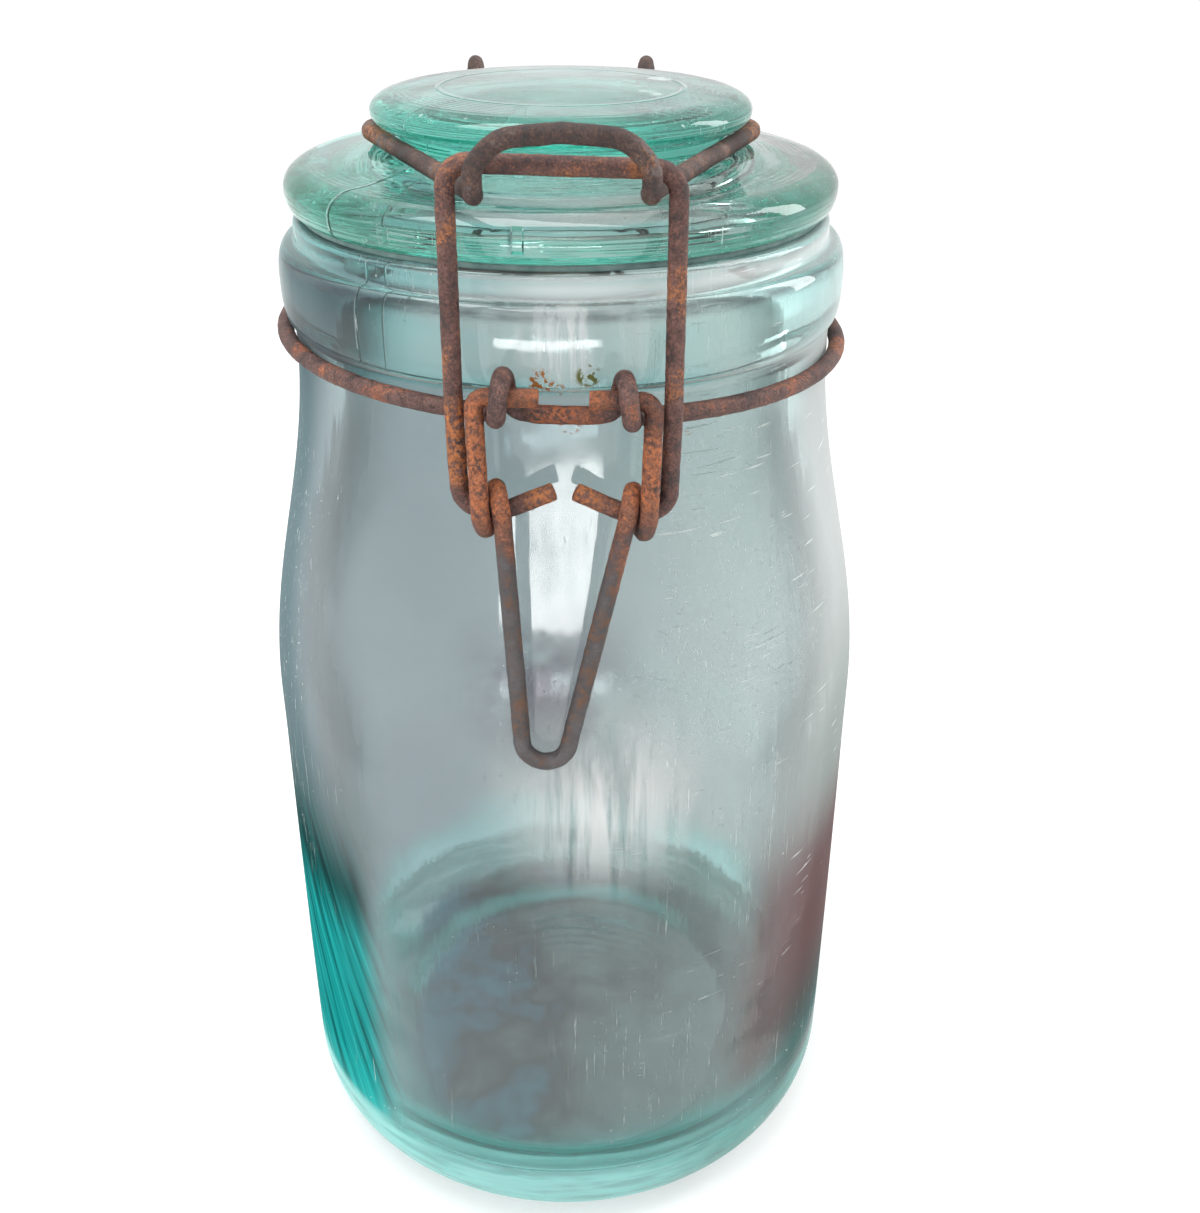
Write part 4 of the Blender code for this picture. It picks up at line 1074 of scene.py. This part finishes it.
def softbox(name, place, target, size, power, mirrored_in_glass=True):
    """Add a soft area lamp that faces a target."""
    lamp = bpy.data.lights.new(name, "AREA")
    lamp.shape = "RECTANGLE"
    lamp.size, lamp.size_y = size
    lamp.energy = power
    item = bpy.data.objects.new(name, lamp)
    bpy.context.scene.collection.objects.link(item)
    item.visible_camera = False
    item.visible_glossy = mirrored_in_glass
    item.visible_transmission = mirrored_in_glass
    item.location = place
    item.rotation_euler = (Vector(target) - Vector(place)).to_track_quat("-Z", "Y").to_euler()
    return item


def build_lights():
    """Light the jar from above, the left and the right."""
    softbox("top_box", (-0.15, -0.10, 0.95), (0.0, 0.0, 0.12), (0.7, 0.5), 5.0)
    softbox("right_box", (0.85, 0.25, 0.55), (0.0, 0.0, 0.13), (0.25, 0.7), 3.5)
    softbox("left_box", (-0.8, -0.45, 0.45), (0.0, 0.0, 0.12), (0.3, 0.6), 2.0,
            mirrored_in_glass=False)
    panel = softbox("front_panel", (-0.022, -0.25, 0.137), (-0.008, -0.06, 0.155), (0.165, 0.018), 0.12)
    panel.visible_diffuse = False


def build_camera():
    """Place the camera as the photograph's was."""
    scene = bpy.context.scene
    camera = bpy.data.cameras.new("camera")
    camera.sensor_fit = "HORIZONTAL"
    camera.sensor_width = CAMERA_SENSOR_MM
    camera.lens = CAMERA_LENS_MM
    camera.clip_start = 0.01
    camera.clip_end = 50.0
    ahead = Vector(CAMERA_AHEAD).normalized()
    right = Vector((math.cos(CAMERA_YAW), -math.sin(CAMERA_YAW), 0.0))
    up = right.cross(ahead)
    right, up = (right * math.cos(CAMERA_ROLL) + up * math.sin(CAMERA_ROLL),
                 up * math.cos(CAMERA_ROLL) - right * math.sin(CAMERA_ROLL))
    turn = Matrix((right, up, -ahead)).transposed().to_4x4()
    item = bpy.data.objects.new("camera", camera)
    scene.collection.objects.link(item)
    item.matrix_world = Matrix.Translation(CAMERA_PLACE) @ turn
    scene.camera = item
    scene.view_settings.view_transform = "Standard"
    scene.cycles.max_bounces = LIGHT_TURNS
    scene.cycles.transmission_bounces = LIGHT_TURNS
    scene.cycles.glossy_bounces = LIGHT_TURNS


build_camera()
build_world()
build_lights()
build_floor()
build_glass()
build_closure()
